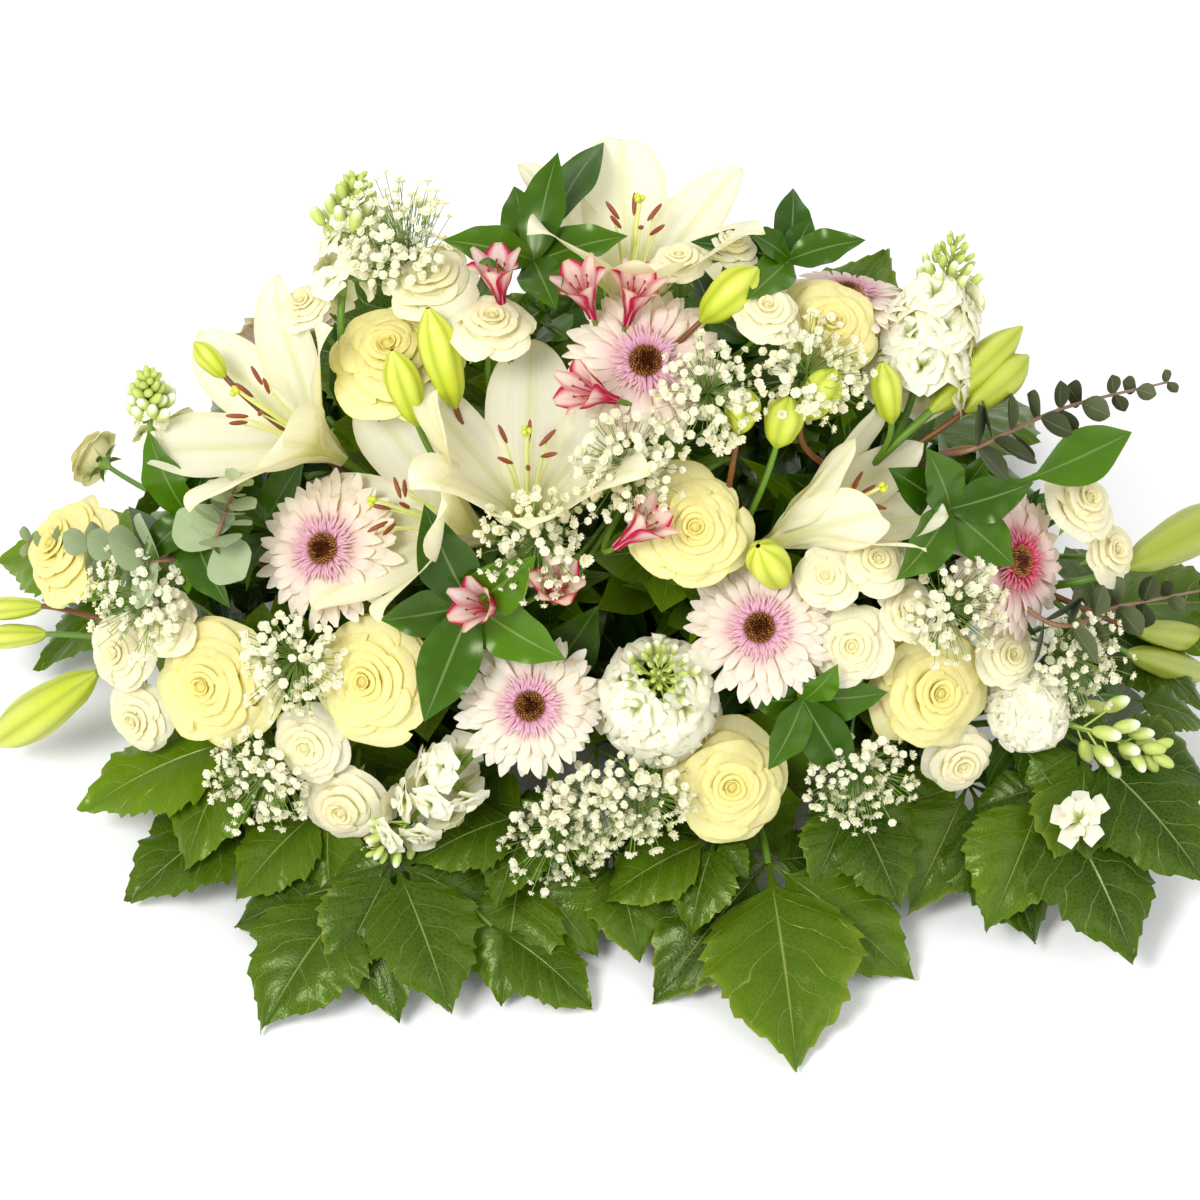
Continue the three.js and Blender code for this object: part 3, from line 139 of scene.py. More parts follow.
# The heads of each stem of spray roses, and of alstroemerias below
SPRAY_ROSES = [
    [bloom(490, 326, 6, 40, 56), bloom(430, 282, -8, 42, 62, 0.97), bloom(304, 306, -20, 34, 38)],
    [bloom(680, 262, -6, 44, 38), bloom(730, 246, 12, 46, 40), bloom(766, 312, 8, 30, 44, 1.03)],
    [
        bloom(826, 578, 0, 10, 42), bloom(876, 562, 14, 16, 50), bloom(850, 644, 4, -4, 56),
        bloom(908, 612, 22, 8, 44),
    ],
    [bloom(960, 760, 18, -30, 50), bloom(1008, 656, 24, 4, 46)],
    [bloom(1080, 502, 34, 26, 54), bloom(1110, 552, 40, 8, 46)],
    [bloom(140, 716, -30, -20, 52), bloom(122, 654, -34, -2, 54), bloom(168, 622, -24, 12, 46)],
    [bloom(310, 744, -18, -16, 54), bloom(344, 804, -16, -30, 60)],
    [
        rear_bloom(-64, 8, 46), rear_bloom(-50, 4, 48), rear_bloom(-16, 6, 50),
        rear_bloom(-20, 26, 44, 0.92),
    ],
]

ALSTROEMERIAS = [
    [
        bloom(497, 278, -10, 50, reach=1.03), bloom(584, 292, -20, 40, reach=1.03),
        bloom(634, 296, 18, 46, reach=1.03),
    ],
    [
        bloom(590, 392, -46, 10, reach=1.07), bloom(640, 528, 50, 30, reach=1.08),
        bloom(556, 588, 4, 20, reach=1.03), bloom(482, 606, -34, 4, reach=1.03),
    ],
]

# A spike of stock runs from its lowest floret to its tip. The last one lies over the leaves: its florets
# crowd round its foot, broad leaves dark with painted shade close the gaps beside it, each at a pixel and a
# share of the dome, and one floret hangs apart.
STOCKS = [
    dict(base=(342, 296), tip=(357, 176), base_reach=0.97, tip_reach=1.06, width=66, florets=5),
    dict(base=(914, 392), tip=(958, 236), base_reach=0.95, tip_reach=1.08, width=108, florets=7),
    dict(base=(656, 706), tip=(660, 668), base_reach=0.86, tip_reach=1.08, width=122, florets=8),
    dict(base=(464, 764), tip=(364, 868), base_reach=0.98, tip_reach=1.06, width=82, florets=5),
    dict(base=(152, 448), tip=(148, 372), base_reach=1.0, tip_reach=1.1, width=40, florets=4),
    dict(
        base=(1008, 704), tip=(1164, 756), base_reach=0.98, tip_height=100, width=76, florets=0, at_foot=12,
        fill=[(1142, 640, 0.9), (1150, 706, 0.92), (1096, 604, 0.86), (1006, 806, 0.86), (1082, 796, 0.88)],
        apart=(1080, 820),
    ),
]
APART_HEIGHT = 92.0  # the height of the floret that hangs apart
LOWEST_FILL = 34.0  # the least height of a tip of those broad leaves, so that none passes through the lid

# Each stem of gypsophila ends in clusters, one at each pixel.
GYPSOPHILA = [
    [(262, 778), (292, 664), (136, 600), (398, 232)],
    [(628, 466), (536, 545), (712, 392), (812, 372)],
    [(596, 812), (556, 838), (640, 800)],
    [(956, 612), (860, 778), (1078, 662)],
]

# Each branch of eucalyptus has two shoots, and a shoot is a row of pixels that it grows through.
EUCALYPTUS = [
    [[(160, 560), (100, 552), (28, 542)], [(215, 548), (226, 512), (238, 482)]],
    [[(975, 448), (1064, 408), (1168, 382)], [(1040, 618), (1120, 606), (1204, 590)]],
]
EUCALYPTUS_LEAF = 16.0  # the radius of a leaf at the foot of a shoot

# The pixel where a sprig of ruscus ends, the width of its leaves, and the pixels of their tips
RUSCUS = [
    ((534, 262), 28, [(558, 152), (514, 186), (442, 240), (628, 236), (556, 310), (604, 142)]),
    ((788, 262), 24, [(732, 222), (793, 188), (866, 240), (690, 242), (746, 300), (812, 218)]),
    ((948, 508), 34, [
        (926, 448), (990, 452), (1034, 482), (1014, 566), (896, 580), (888, 468), (1132, 432),
    ]),
    ((192, 516), 32, [(148, 430), (212, 450), (142, 562), (188, 594), (230, 608), (252, 572)]),
    ((472, 604), 36, [(424, 504), (380, 620), (424, 722), (566, 660), (536, 556)]),
    ((802, 698), 30, [(852, 782), (888, 692), (768, 770), (746, 700), (838, 664)]),
]

# Large toothed leaves. Base and tip are each a pixel and its height, or x, y and z where a leaf is hidden.
# A full one has five large leaflets, a plain one three and two small, a hidden one three, a loose one one.
LEAF_BRANCHES = [
    [
        ("full", (246, 738, 84), (84, 812, 38)), ("plain", (330, 802, 72), (236, 900, 30)),
        ("hidden", (-296, 20, 66), (-430, 64, 30)), ("loose", (266, 800, 44), (128, 902, 14)),
    ],
    [
        ("full", (366, 880, 52), (262, 1030, 8)), ("plain", (394, 862, 68), (450, 1012, 24)),
        ("full", (522, 862, 54), (502, 1006, 8)), ("plain", (534, 812, 84), (410, 866, 66)),
        ("loose", (492, 926, 40), (592, 1008, 8)),
    ],
    [
        ("plain", (768, 862, 52), (797, 1070, 7)), ("plain", (716, 838, 74), (602, 902, 50)),
        ("plain", (612, 852, 52), (640, 962, 20)),
    ],
    [
        ("full", (968, 784, 66), (1036, 944, 14)), ("plain", (850, 802, 74), (900, 908, 42)),
        ("plain", (1046, 786, 78), (1134, 960, 28)), ("plain", (1084, 748, 94), (1208, 886, 50)),
        ("hidden", (330, -44, 84), (456, -12, 60)), ("loose", (1130, 700, 84), (1206, 726, 60)),
    ],
    [
        ("hidden", (-52, 150, 70), (-88, 318, 12)), ("hidden", (-176, 146, 66), (-290, 256, 14)),
        ("hidden", (84, 150, 72), (110, 322, 16)), ("hidden", (214, 138, 72), (322, 240, 20)),
        ("hidden", (-120, 140, 130), (-176, 246, 190)), ("hidden", (10, 150, 130), (-6, 262, 200)),
        ("hidden", (142, 140, 120), (206, 238, 176)),
    ],
]
LEAF_TONES = (0.85, 0.85, 0.35, 0.1, 0.35)  # how light the leaves of each branch may be
LOOSE_TONE = 0.12  # how light a loose leaflet is
REAR_BRANCH = 5  # the branch whose stalks have leaves too


def colours(codes):
    """Colour codes as light: each code's three parts are their share of full strength to the power 2.2."""
    parts = [[int(code[k : k + 2], 16) for k in (1, 3, 5)] for code in codes.split()]
    return [(np.array(part) / 255) ** 2.2 for part in parts]


# The second lily colour is painted shade: a darker cream for the margins of the petals, which outlines them.
LILY_WHITE, LILY_EDGE_SHADE, LILY_THROAT, LILY_RIB = colours("#fbf8e8 #e6e2c4 #c9ca3c #dfe096")
BUD_GREEN, BUD_CREAM, BUD_RIDGE, BUD_OLIVE = colours("#c2cb2e #e3e67c #86991c #8a9636")
ANTHER, FILAMENT, STIGMA = colours("#8a4522 #dfe48c #c3c93e")
GERBERA_TIP, GERBERA_FLUSH, RING_PALE, RING_STRONG = colours("#fbf5ea #f3c0cc #e3a8cb #d62b66")
DISC_DARK, DISC_BROWN, DISC_GOLD = colours("#431c0b #743a18 #d39a5a")
# In the cream and white tints of the roses, the last is the colour at a petal's foot: partly the rose's own
# warmer base, partly painted shade deep in the cups.
CREAM_TINTS = colours("#faf4bc #f6ea98 #e6e070")
WHITE_TINTS = colours("#fbf7e6 #f6eec2 #eeedb6")
[SPECK] = colours("#c4283e")
STOCK_WHITE, STOCK_HEART, STOCK_BUD = colours("#fbfaf0 #b9c95e #b3c262")
ALSTRO_WHITE, ALSTRO_PINK, ALSTRO_GREEN = colours("#fbeeea #c4164e #a4b04c")
GYPSO_WHITE, GYPSO_STALK = colours("#fbfaee #7f9c48")
EUCALYPTUS_TINTS = [colours("#8b9a78 #c6cfb0"), colours("#444a38 #72785e")]
[EUCALYPTUS_STEM] = colours("#8a6450")
RUSCUS_TINTS = colours("#1f3d02 #567f0c")
LEAF_DARK, LEAF_LIGHT, LEAF_OLIVE = colours("#213a02 #7a9c12 #a2a83c")
STEM_GREEN, STEM_RED, SEPAL = colours("#5c7f22 #74291f #79993a")
# Dark greens that are painted shade, for the leaves that fill the gaps deep in the spray and lie under it.
# The leaves on stems run from the darker of them to the light leaf green.
PAINTED_SHADE_TINTS = colours("#1b3503 #40640a")
STEM_LEAF_TINTS = (PAINTED_SHADE_TINTS[0], LEAF_LIGHT)


# Places on the dome, as in the solids
def unit(line):
    """Each vector divided by its own length."""
    line = np.asarray(line, float)
    return line / np.linalg.norm(line, axis=-1, keepdims=True)


def ray_through(pixel):
    """The direction from the eye to a pixel's place on the plane through the point aimed at."""
    across = (pixel[0] - PICTURE / 2) * MM_PER_PIXEL
    up = (PICTURE / 2 - pixel[1]) * MM_PER_PIXEL
    return unit(AIM + RIGHT * across + UP * up - EYE)


def on_dome(pixel, reach=1.0):
    """Where the pixel's ray first meets the dome, its radii times the reach, or passes nearest to it."""
    ray = ray_through(pixel)
    half = DOME * reach
    start = (EYE - np.array([0, 0, DOME_CENTRE])) / half
    step = ray / half
    square, cross = step @ step, start @ step
    inside = max(0.0, cross * cross - square * (start @ start - 1))
    return EYE + ray * (-cross - math.sqrt(inside)) / square


def on_level(pixel, height):
    """Where the pixel's ray is at that height."""
    ray = ray_through(pixel)
    return EYE + ray * (height - EYE[2]) / ray[2]


def behind_crest(turns, reach):
    """A point of the dome by its turn round from the back and its rise above the level."""
    turn, rise = np.radians(turns)
    way = np.array([math.cos(rise) * math.sin(turn), math.cos(rise) * math.cos(turn), math.sin(rise)])
    return DOME * way * reach + np.array([0, 0, DOME_CENTRE])


def outward_from(point):
    """The dome's normal: each coordinate over the square of its radius."""
    return unit((point - np.array([0, 0, DOME_CENTRE])) / DOME**2)


def share_of_dome(point):
    """How far out a point lies, as a share of the dome's radii."""
    return np.linalg.norm((point - np.array([0, 0, DOME_CENTRE])) / DOME)


def spot(row):
    """A bloom's middle and the way it faces."""
    if "behind" in row:
        point = behind_crest(row["behind"], row["reach"])
        return point, outward_from(point)
    right, up = np.radians(row["faces"])
    level = math.cos(up)
    facing = TOWARD * level * math.cos(right) + RIGHT * level * math.sin(right) + UP * math.sin(up)
    return on_dome(row["at"], row["reach"]), facing


def two_ends(row):
    """The base and tip of a bud or spike, and the way it points."""
    base = on_dome(row["base"], row.get("base_reach", 1.0))
    if "tip_height" in row:
        tip = on_level(row["tip"], row["tip_height"])
    else:
        tip = on_dome(row["tip"], row.get("tip_reach", 1.04))
    return base, tip, unit(tip - base)


def frame_at(point, facing, spin=0.0):
    """A 4 x 4 matrix at the point. Its third axis is the facing, and its second is as near the picture's
    up as it can be, turned by the spin."""
    across = unit(np.cross(UP, facing))
    along = np.cross(facing, across)
    turn = math.radians(spin)
    matrix = np.eye(4)
    matrix[:3, 0] = across * math.cos(turn) + along * math.sin(turn)
    matrix[:3, 1] = along * math.cos(turn) - across * math.sin(turn)
    matrix[:3, 2] = facing
    matrix[:3, 3] = point
    return matrix


def placed(points, matrix):
    """The points carried by the matrix."""
    return np.asarray(points) @ matrix[:3, :3].T + matrix[:3, 3]


def turned(points, angles):
    """A copy of the points for each angle, turned by it round the third axis."""
    points = np.asarray(points)
    angles = np.asarray(angles, float).reshape((-1,) + (1,) * (points.ndim - 1))
    x, y, z = points[..., 0], points[..., 1], points[..., 2]
    c, s = np.cos(angles), np.sin(angles)
    return np.stack([x * c - y * s, x * s + y * c, z + 0 * c], -1)


def round_axis(angle, radius, height):
    """The point at that angle round the third axis, that far from it and up it."""
    return np.array([math.cos(angle) * radius, math.sin(angle) * radius, height])


def point_at(line, share):
    """The point of a line that is that share of the way along it."""
    return line[int(share * (len(line) - 1))]


def swung(line, axis, degrees):
    """A vector turned round an axis: its part along the axis stays and the rest turns."""
    turn = math.radians(degrees)
    kept = axis * (axis @ line)
    return kept + (line - kept) * math.cos(turn) + np.cross(axis, line) * math.sin(turn)


# Lines and surfaces
def smooth(points, count):
    """Count points on a curve through the given ones: between two of them it is the cubic whose slope at
    each is half the step from the point before to the point after."""
    points = np.asarray(points, float)
    ends = np.vstack([2 * points[0] - points[1], points, 2 * points[-1] - points[-2]])
    place = np.linspace(0, len(points) - 1, count)
    step = np.minimum(place.astype(int), len(points) - 2)
    t = (place - step)[:, None]
    a, b, c, d = (ends[step + k] for k in range(4))
    return 0.5 * (2 * b + (c - a) * t + (2 * a - 5 * b + 4 * c - d) * t**2 + (3 * b - a - 3 * c + d) * t**3)


def profile(values, count):
    """A smooth run of one value through the given ones, never below nothing."""
    return np.maximum(smooth(np.asarray(values, float)[:, None], count)[:, 0], 0)


def step_between(low, high, value):
    """0 below low, 1 above high and 3t2 - 2t3 between them."""
    t = np.clip((value - low) / (high - low), 0, 1)
    return t * t * (3 - 2 * t)


def mixed(first, second, share):
    """The colour that share of the way from the first to the second."""
    share = np.asarray(share, float)[..., None]
    return first * (1 - share) + second * share


def grid(rows, columns):
    """The two parameters of a surface: u from -1 to 1 over the columns, and v from 0 to 1 over the rows."""
    return np.linspace(-1, 1, columns)[None], np.linspace(0, 1, rows)[:, None]


def blade(line, side, widths, columns, cup=0.0, fold=0.0, ripple=0.0, waves=3.0, phase=0.0):
    """A leaf or petal along a line. At u from -1 to 1 across, a point lies u half widths aside. It rises by
    the half width times cup u squared plus fold |u|, and by a ripple of sine waves along the line that
    grows as u squared."""
    ahead = unit(np.gradient(line, axis=0))
    side = np.asarray(side, float)
    aside = unit(side - ahead * (ahead @ side)[:, None])
    up = np.cross(aside, ahead)
    u, v = grid(len(line), columns)
    rise = widths[:, None] * (cup * u**2 + fold * np.abs(u))
    rise = rise + ripple * u**2 * np.sin(2 * np.pi * waves * v + phase + np.sign(u)) * np.sin(np.pi * v)
    spread = (u * widths[:, None])[..., None]
    return line[:, None] + aside[:, None] * spread + up[:, None] * rise[..., None]


def tube(line, radii, sides):
    """A ring of corners round each point of the line, at its radius, square to the line."""
    ahead = unit(np.gradient(line, axis=0))
    hint = np.eye(3)[np.argmin(np.abs(ahead).sum(0))]
    aside = unit(np.cross(ahead, hint))
    up = np.cross(ahead, aside)
    angle = np.arange(sides) * 2 * np.pi / sides
    radii = np.broadcast_to(radii, len(line))[:, None, None]
    ring = aside[:, None] * np.cos(angle)[:, None] + up[:, None] * np.sin(angle)[:, None]
    return line[:, None] + radii * ring


def bezier(points, count):
    """Count points on the curve that the four points pull: the cubic with the weights 1, 3, 3, 1."""
    t = np.linspace(0, 1, count)[:, None]
    a, b, c, d = (np.asarray(p, float) for p in points)
    return a * (1 - t) ** 3 + 3 * b * t * (1 - t) ** 2 + 3 * c * t**2 * (1 - t) + d * t**3


def ring_surface(rows, sides):
    """A turned surface: each row is a radius and a height, carried round the third axis."""
    rows = np.array(rows, float)
    radii, heights = rows[:, :1], rows[:, 1:]
    around = np.arange(sides) * 2 * math.pi / sides
    return np.stack([radii * np.cos(around), radii * np.sin(around), heights + 0 * around], -1)


def ellipsoid(length, radius, rows=9, sides=8):
    """A spindle round the third axis: its radius at each height is that of a circle drawn out to the
    length."""
    angle = np.linspace(0, math.pi, rows)
    return ring_surface(np.stack([np.sin(angle) * radius, -np.cos(angle) * length / 2], -1), sides)


class Plant:
    """Gathers the surfaces of one plant until they become one mesh."""

    def __init__(self, seed):
        self.draw = np.random.default_rng(seed)
        self.corners, self.quads, self.colours, self.places, self.finishes = [], [], [], [], []
        self.count = 0

    def add(self, points, colour, finish, closed=False):
        """One or more grids of rows by columns, with a quad between each four neighbours. The finish is the
        number of the material, and closed joins the last column to the first."""
        points = np.asarray(points, float)
        rows, columns = points.shape[-3:-1]
        sheets = points.reshape(-1, rows * columns, 3)
        index = np.arange(rows * columns).reshape(rows, columns)
        after = np.roll(index, -1, 1) if closed else index[:, 1:]
        before = index if closed else index[:, :-1]
        quads = np.stack([before[:-1], after[:-1], after[1:], before[1:]], -1).reshape(-1, 4)
        starts = self.count + np.arange(len(sheets)) * rows * columns
        self.quads.append((quads[None] + starts[:, None, None]).reshape(-1, 4))
        self.corners.append(sheets.reshape(-1, 3))
        self.colours.append(np.broadcast_to(colour, points.shape).reshape(-1, 3))
        u, v = np.meshgrid(np.linspace(0, 1, columns), np.linspace(0, 1, rows))
        self.places.append(np.tile(np.stack([u, v], -1).reshape(-1, 2), (len(sheets), 1)))
        self.finishes.append(np.full(len(quads) * len(sheets), finish))
        self.count += len(sheets) * rows * columns

    def add_turned(self, points, angle, matrix, colour, finish, closed=False):
        """One grid, turned by the angle round a bloom's own axis and carried to its place."""
        self.add(placed(turned(points, [angle])[0], matrix), colour, finish, closed)

    def made(self, name, slot, node):
        """The plant as one object that stands for its solid."""
        corners, quads = np.concatenate(self.corners), np.concatenate(self.quads)
        mesh = bpy.data.meshes.new(name)
        mesh.from_pydata((corners / METRE).tolist(), [], quads.tolist())
        mesh.polygons.foreach_set("material_index", np.concatenate(self.finishes).astype(np.int32))
        mesh.polygons.foreach_set("use_smooth", np.ones(len(quads), bool))
        places = np.concatenate(self.places)[quads.reshape(-1)]
        mesh.uv_layers.new(name="along").data.foreach_set("uv", places.reshape(-1))
        tints = np.ones((len(corners), 4))
        tints[:, :3] = np.concatenate(self.colours)
        tint_layer = mesh.color_attributes.new("tint", "FLOAT_COLOR", "POINT")
        tint_layer.data.foreach_set("color", tints.reshape(-1))
        for finish in FINISHES:
            mesh.materials.append(finish)
        piece = bpy.data.objects.new(name, mesh)
        bpy.context.scene.collection.objects.link(piece)
        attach(piece, "root")
        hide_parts(node)


# Finishes
PETAL, LEAF, GLOSSY, WAXY, STEM = range(5)


LEAF_SHEEN = (0.85, 1.0, 0.5, 1)  # the tint of the highlights on a leaf


def new_material(name):
    """A material with its nodes and its shader, ready to be wired."""
    material = bpy.data.materials.new(name)
    material.use_nodes = True
    tree = material.node_tree
    return material, tree, tree.nodes["Principled BSDF"]


def wired(tree, part, **inputs):
    """A node with its sockets set: a value is written on the socket, and another node's socket is linked.
    A socket is named with _ for a space, or given as i and its number."""
    for name, value in inputs.items():
        socket = part.inputs[int(name[1:]) if name[1:].isdigit() else name.replace("_", " ")]
        if isinstance(value, bpy.types.NodeSocket):
            tree.links.new(value, socket)
        else:
            socket.default_value = value
    return part


def node(tree, kind, **inputs):
    """A new node of that kind with its sockets set."""
    return wired(tree, tree.nodes.new(kind), **inputs)


def maths(tree, operation, first, second=0.0):
    """The result of one sum on two values."""
    made = node(tree, "ShaderNodeMath", i0=first, i1=second)
    made.operation = operation
    return made.outputs[0]


def times(tree, first, second):
    """The first value times the second."""
    return maths(tree, "MULTIPLY", first, second)


def less(tree, first, second):
    """The first value less the second."""
    return maths(tree, "SUBTRACT", first, second)


def ranged(tree, value, low, high, to_low=0.0, to_high=1.0):
    """The value carried from one range to another."""
    limits = dict(From_Min=low, From_Max=high, To_Min=to_low, To_Max=to_high)
    return node(tree, "ShaderNodeMapRange", Value=value, **limits).outputs[0]


def shaded(tree, colour, factor, other, kind="MULTIPLY"):
    """The colour multiplied by another or mixed with it, by the factor."""
    made = tree.nodes.new("ShaderNodeMix")
    made.data_type, made.blend_type = "RGBA", kind
    return wired(tree, made, i0=factor, i6=colour, i7=(*other, 1)).outputs[2]


def tint_of(tree):
    """The colour that is kept on the corners."""
    attribute = tree.nodes.new("ShaderNodeAttribute")
    attribute.attribute_name = "tint"
    return attribute.outputs["Color"]


def on_object(tree):
    """A point's place on the object, in metres."""
    return tree.nodes.new("ShaderNodeTexCoord").outputs["Object"]


def noise(tree, place, scale, detail):
    """Noise by place, from 0 to 1."""
    return node(tree, "ShaderNodeTexNoise", Vector=place, Scale=scale, Detail=detail).outputs["Fac"]


def object_noise(tree, scale, detail=4.0):
    """Noise by place on the object, with features a metre over the scale wide."""
    return noise(tree, on_object(tree), scale, detail)


def across_and_along(tree):
    """How far across and along its leaf or petal a point lies, each from 0 to 1."""
    place = tree.nodes.new("ShaderNodeTexCoord").outputs["UV"]
    parts = node(tree, "ShaderNodeSeparateXYZ", Vector=place)
    return parts.outputs["X"], parts.outputs["Y"]


def from_rib(tree, across):
    """How far from the middle rib a point lies, from 0 to 1 at the edge."""
    return maths(tree, "ABSOLUTE", less(tree, times(tree, across, 2.0), 1.0))


def streaks(tree, across, along, fine, coarse):
    """Noise drawn out along a leaf or petal: fine steps across it, coarse ones along."""
    place = node(tree, "ShaderNodeCombineXYZ", X=times(tree, across, fine), Y=times(tree, along, coarse))
    return noise(tree, place.outputs[0], 1.0, 3.0)


def bumped(tree, shader, height, strength, distance):
    """The height as relief on the shader."""
    bump = node(tree, "ShaderNodeBump", Height=height, Strength=strength, Distance=distance)
    wired(tree, shader, Normal=bump.outputs["Normal"])


def thinned(tree, shader, colour, share):
    """Light also comes through from behind: part of the surface is the same colour, let through."""
    through = node(tree, "ShaderNodeBsdfTranslucent", Color=colour)
    both = node(tree, "ShaderNodeMixShader", i0=share, i1=shader.outputs[0], i2=through.outputs[0])
    output = next(part for part in tree.nodes if part.type == "OUTPUT_MATERIAL")
    wired(tree, output, Surface=both.outputs[0])


def petal_finish():
    """Soft petal: fine veins run from base to tip, as noise drawn out along the petal, and light comes
    through."""
    material, tree, shader = new_material("petal")
    veins = streaks(tree, *across_and_along(tree), 22.0, 1.6)
    darker = times(tree, ranged(tree, veins, 0.42, 0.75), 0.3)
    colour = shaded(tree, tint_of(tree), darker, (0.84, 0.82, 0.6))
    colour = shaded(tree, colour, times(tree, object_noise(tree, 90.0), 0.08), (0.85, 0.85, 0.7))
    wired(tree, shader, Base_Color=colour, Roughness=0.55, Specular_IOR_Level=0.25)
    bumped(tree, shader, veins, 0.4, 0.0008)
    thinned(tree, shader, shaded(tree, colour, 1.0, (1.0, 0.96, 0.52)), 0.36)
    return material


def leaf_finish():
    """Toothed leaf: a pale middle rib, side veins that leave it forwards, a net of fine ones, and a soft
    gloss."""
    material, tree, shader = new_material("toothed_leaf")
    across, along = across_and_along(tree)
    out = from_rib(tree, across)
    bend = times(tree, object_noise(tree, 40.0, 2.0), 0.9)
    slant = less(tree, times(tree, along, 7.0), times(tree, out, 1.7))
    apart = maths(tree, "FRACT", maths(tree, "ADD", slant, bend))
    side_veins = ranged(tree, maths(tree, "ABSOLUTE", less(tree, apart, 0.5)), 0.035, 0.0)
    middle = ranged(tree, out, 0.028, 0.004)
    veins = maths(tree, "MAXIMUM", times(tree, side_veins, 0.6), middle)
    net = node(tree, "ShaderNodeTexVoronoi", Vector=on_object(tree), Scale=330.0)
    net.feature = "DISTANCE_TO_EDGE"
    cells = ranged(tree, net.outputs["Distance"], 0.0, 0.25)
    mottle = object_noise(tree, 60.0)
    colour = shaded(tree, tint_of(tree), times(tree, mottle, 0.8), (0.5, 0.6, 0.35))
    colour = shaded(tree, colour, ranged(tree, cells, 1.0, 0.0, 0.0, 0.1), (0.22, 0.32, 0.05), "MIX")
    colour = shaded(tree, colour, times(tree, veins, 0.5), (0.4, 0.48, 0.12), "MIX")
    rough = ranged(tree, mottle, 0.3, 0.7, 0.2, 0.36)
    wired(tree, shader, Base_Color=colour, Roughness=rough)
    wired(tree, shader, Specular_IOR_Level=0.32, Specular_Tint=LEAF_SHEEN)
    bumped(tree, shader, less(tree, times(tree, cells, 0.08), veins), 0.6, 0.0012)
    thinned(tree, shader, colour, 0.12)
    return material


def plain_leaf_finish(name, smoothest, coat):
    """Smooth leaf: faint streaks run along it beside a shallow groove, and its green is mottled."""
    material, tree, shader = new_material(name)
    across, along = across_and_along(tree)
    lines = streaks(tree, across, along, 16.0, 1.2)
    groove = ranged(tree, from_rib(tree, across), 0.07, 0.0)
    mottle = object_noise(tree, 50.0)
    colour = shaded(tree, tint_of(tree), times(tree, mottle, 0.6), (0.55, 0.65, 0.4))
    colour = shaded(tree, colour, times(tree, lines, 0.3), (0.7, 0.75, 0.5))
    colour = shaded(tree, colour, times(tree, groove, 0.25), (0.45, 0.55, 0.2), "MIX")
    rough = ranged(tree, mottle, 0.3, 0.7, smoothest, smoothest + 0.15)
    wired(tree, shader, Base_Color=colour, Roughness=rough, Coat_Weight=coat, Coat_Roughness=0.25)
    wired(tree, shader, Specular_IOR_Level=0.26, Specular_Tint=LEAF_SHEEN)
    bumped(tree, shader, less(tree, times(tree, lines, 0.5), groove), 0.35, 0.0006)
    return material


def stem_finish():
    """Stem, sepal and bud: fine streaks and pores over the kept colour, half matt."""
    material, tree, shader = new_material("stem_and_bud")
    pores = object_noise(tree, 260.0)
    colour = shaded(tree, tint_of(tree), times(tree, pores, 0.4), (0.78, 0.8, 0.6))
    wired(tree, shader, Base_Color=colour, Roughness=0.48)
    wired(tree, shader, Subsurface_Weight=0.1, Subsurface_Radius=(0.002, 0.002, 0.001))
    bumped(tree, shader, pores, 0.3, 0.0005)
    return material


def foam_finish():
    """Wet foam: dark green, with a crumb of fine cells."""
    material, tree, shader = new_material("wet_foam")
    cells = object_noise(tree, 900.0)
    patches = ranged(tree, object_noise(tree, 25.0), 0.35, 0.65)
    colour = shaded(tree, (0.03, 0.075, 0.02, 1), patches, (0.06, 0.12, 0.04), "MIX")
    wired(tree, shader, Base_Color=shaded(tree, colour, cells, (0.6, 0.6, 0.6)), Roughness=0.9)
    bumped(tree, shader, cells, 0.8, 0.001)
    return material


def tray_finish():
    """Moulded plastic: dark green, with a faint orange peel and scuffs that dull it."""
    material, tree, shader = new_material("moulded_tray")
    scuffs = object_noise(tree, 35.0)
    colour = shaded(tree, (0.02, 0.06, 0.02, 1), scuffs, (0.035, 0.085, 0.035), "MIX")
    wired(tree, shader, Base_Color=colour, Roughness=ranged(tree, scuffs, 0.0, 1.0, 0.3, 0.55))
    bumped(tree, shader, object_noise(tree, 420.0), 0.15, 0.0004)
    return material


FINISHES = [
    petal_finish(),
    leaf_finish(),
    plain_leaf_finish("glossy_leaf", 0.2, 0.15),
    plain_leaf_finish("waxy_leaf", 0.5, 0.0),
    stem_finish(),
]


# Stems
def foot_of(name):
    """The middle of the stem's end: the mean of the solid's corners that lie in the foam."""
    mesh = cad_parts[name].data
    flat = np.zeros(len(mesh.vertices) * 3, np.float32)
    mesh.vertices.foreach_get("co", flat)
    corners = flat.reshape(-1, 3).astype(float) * METRE
    inside = (np.abs(corners[:, 0]) < FOAM_HALF[0]) & (np.abs(corners[:, 1]) < FOAM_HALF[1])
    return corners[inside & (corners[:, 2] < FOAM_TOP)].mean(0)


def grow_stem(plant, name, base, facing, radius, colour=STEM_GREEN):
    """A stem from its foot in the foam to its bloom: it leaves straight for the bloom and bends to meet it
    square on, on the curve pulled by points half the way out and a quarter of the way behind the bloom."""
    foot = foot_of(name)
    length = np.linalg.norm(base - foot)
    out = unit(base - foot)
    rows = 20
    line = bezier([foot, foot + out * length * 0.5, base - facing * length * 0.25, base], rows)
    # Painted shade: the stem is darker towards its foot, down under the blooms.
    shade = mixed(colour * 0.6, colour, np.linspace(0, 1, rows))[:, None]
    plant.add(tube(line, radius * np.linspace(1, 0.85, rows), 8), shade, STEM, True)
    return line


def grow_stalk(plant, stem, base, facing, radius, start=0.66, colour=STEM_GREEN):
    """A side stalk that leaves the stem part of the way up and bends to its bud or head."""
    origin = point_at(stem, start)
    behind = base - facing * np.linalg.norm(base - origin) * 0.35
    t = np.linspace(0, 1, 12)[:, None]
    line = origin * (1 - t) ** 2 + 2 * behind * t * (1 - t) + base * t**2
    plant.add(tube(line, radius * np.linspace(1, 0.8, 12), 6), colour, STEM, True)
    return line


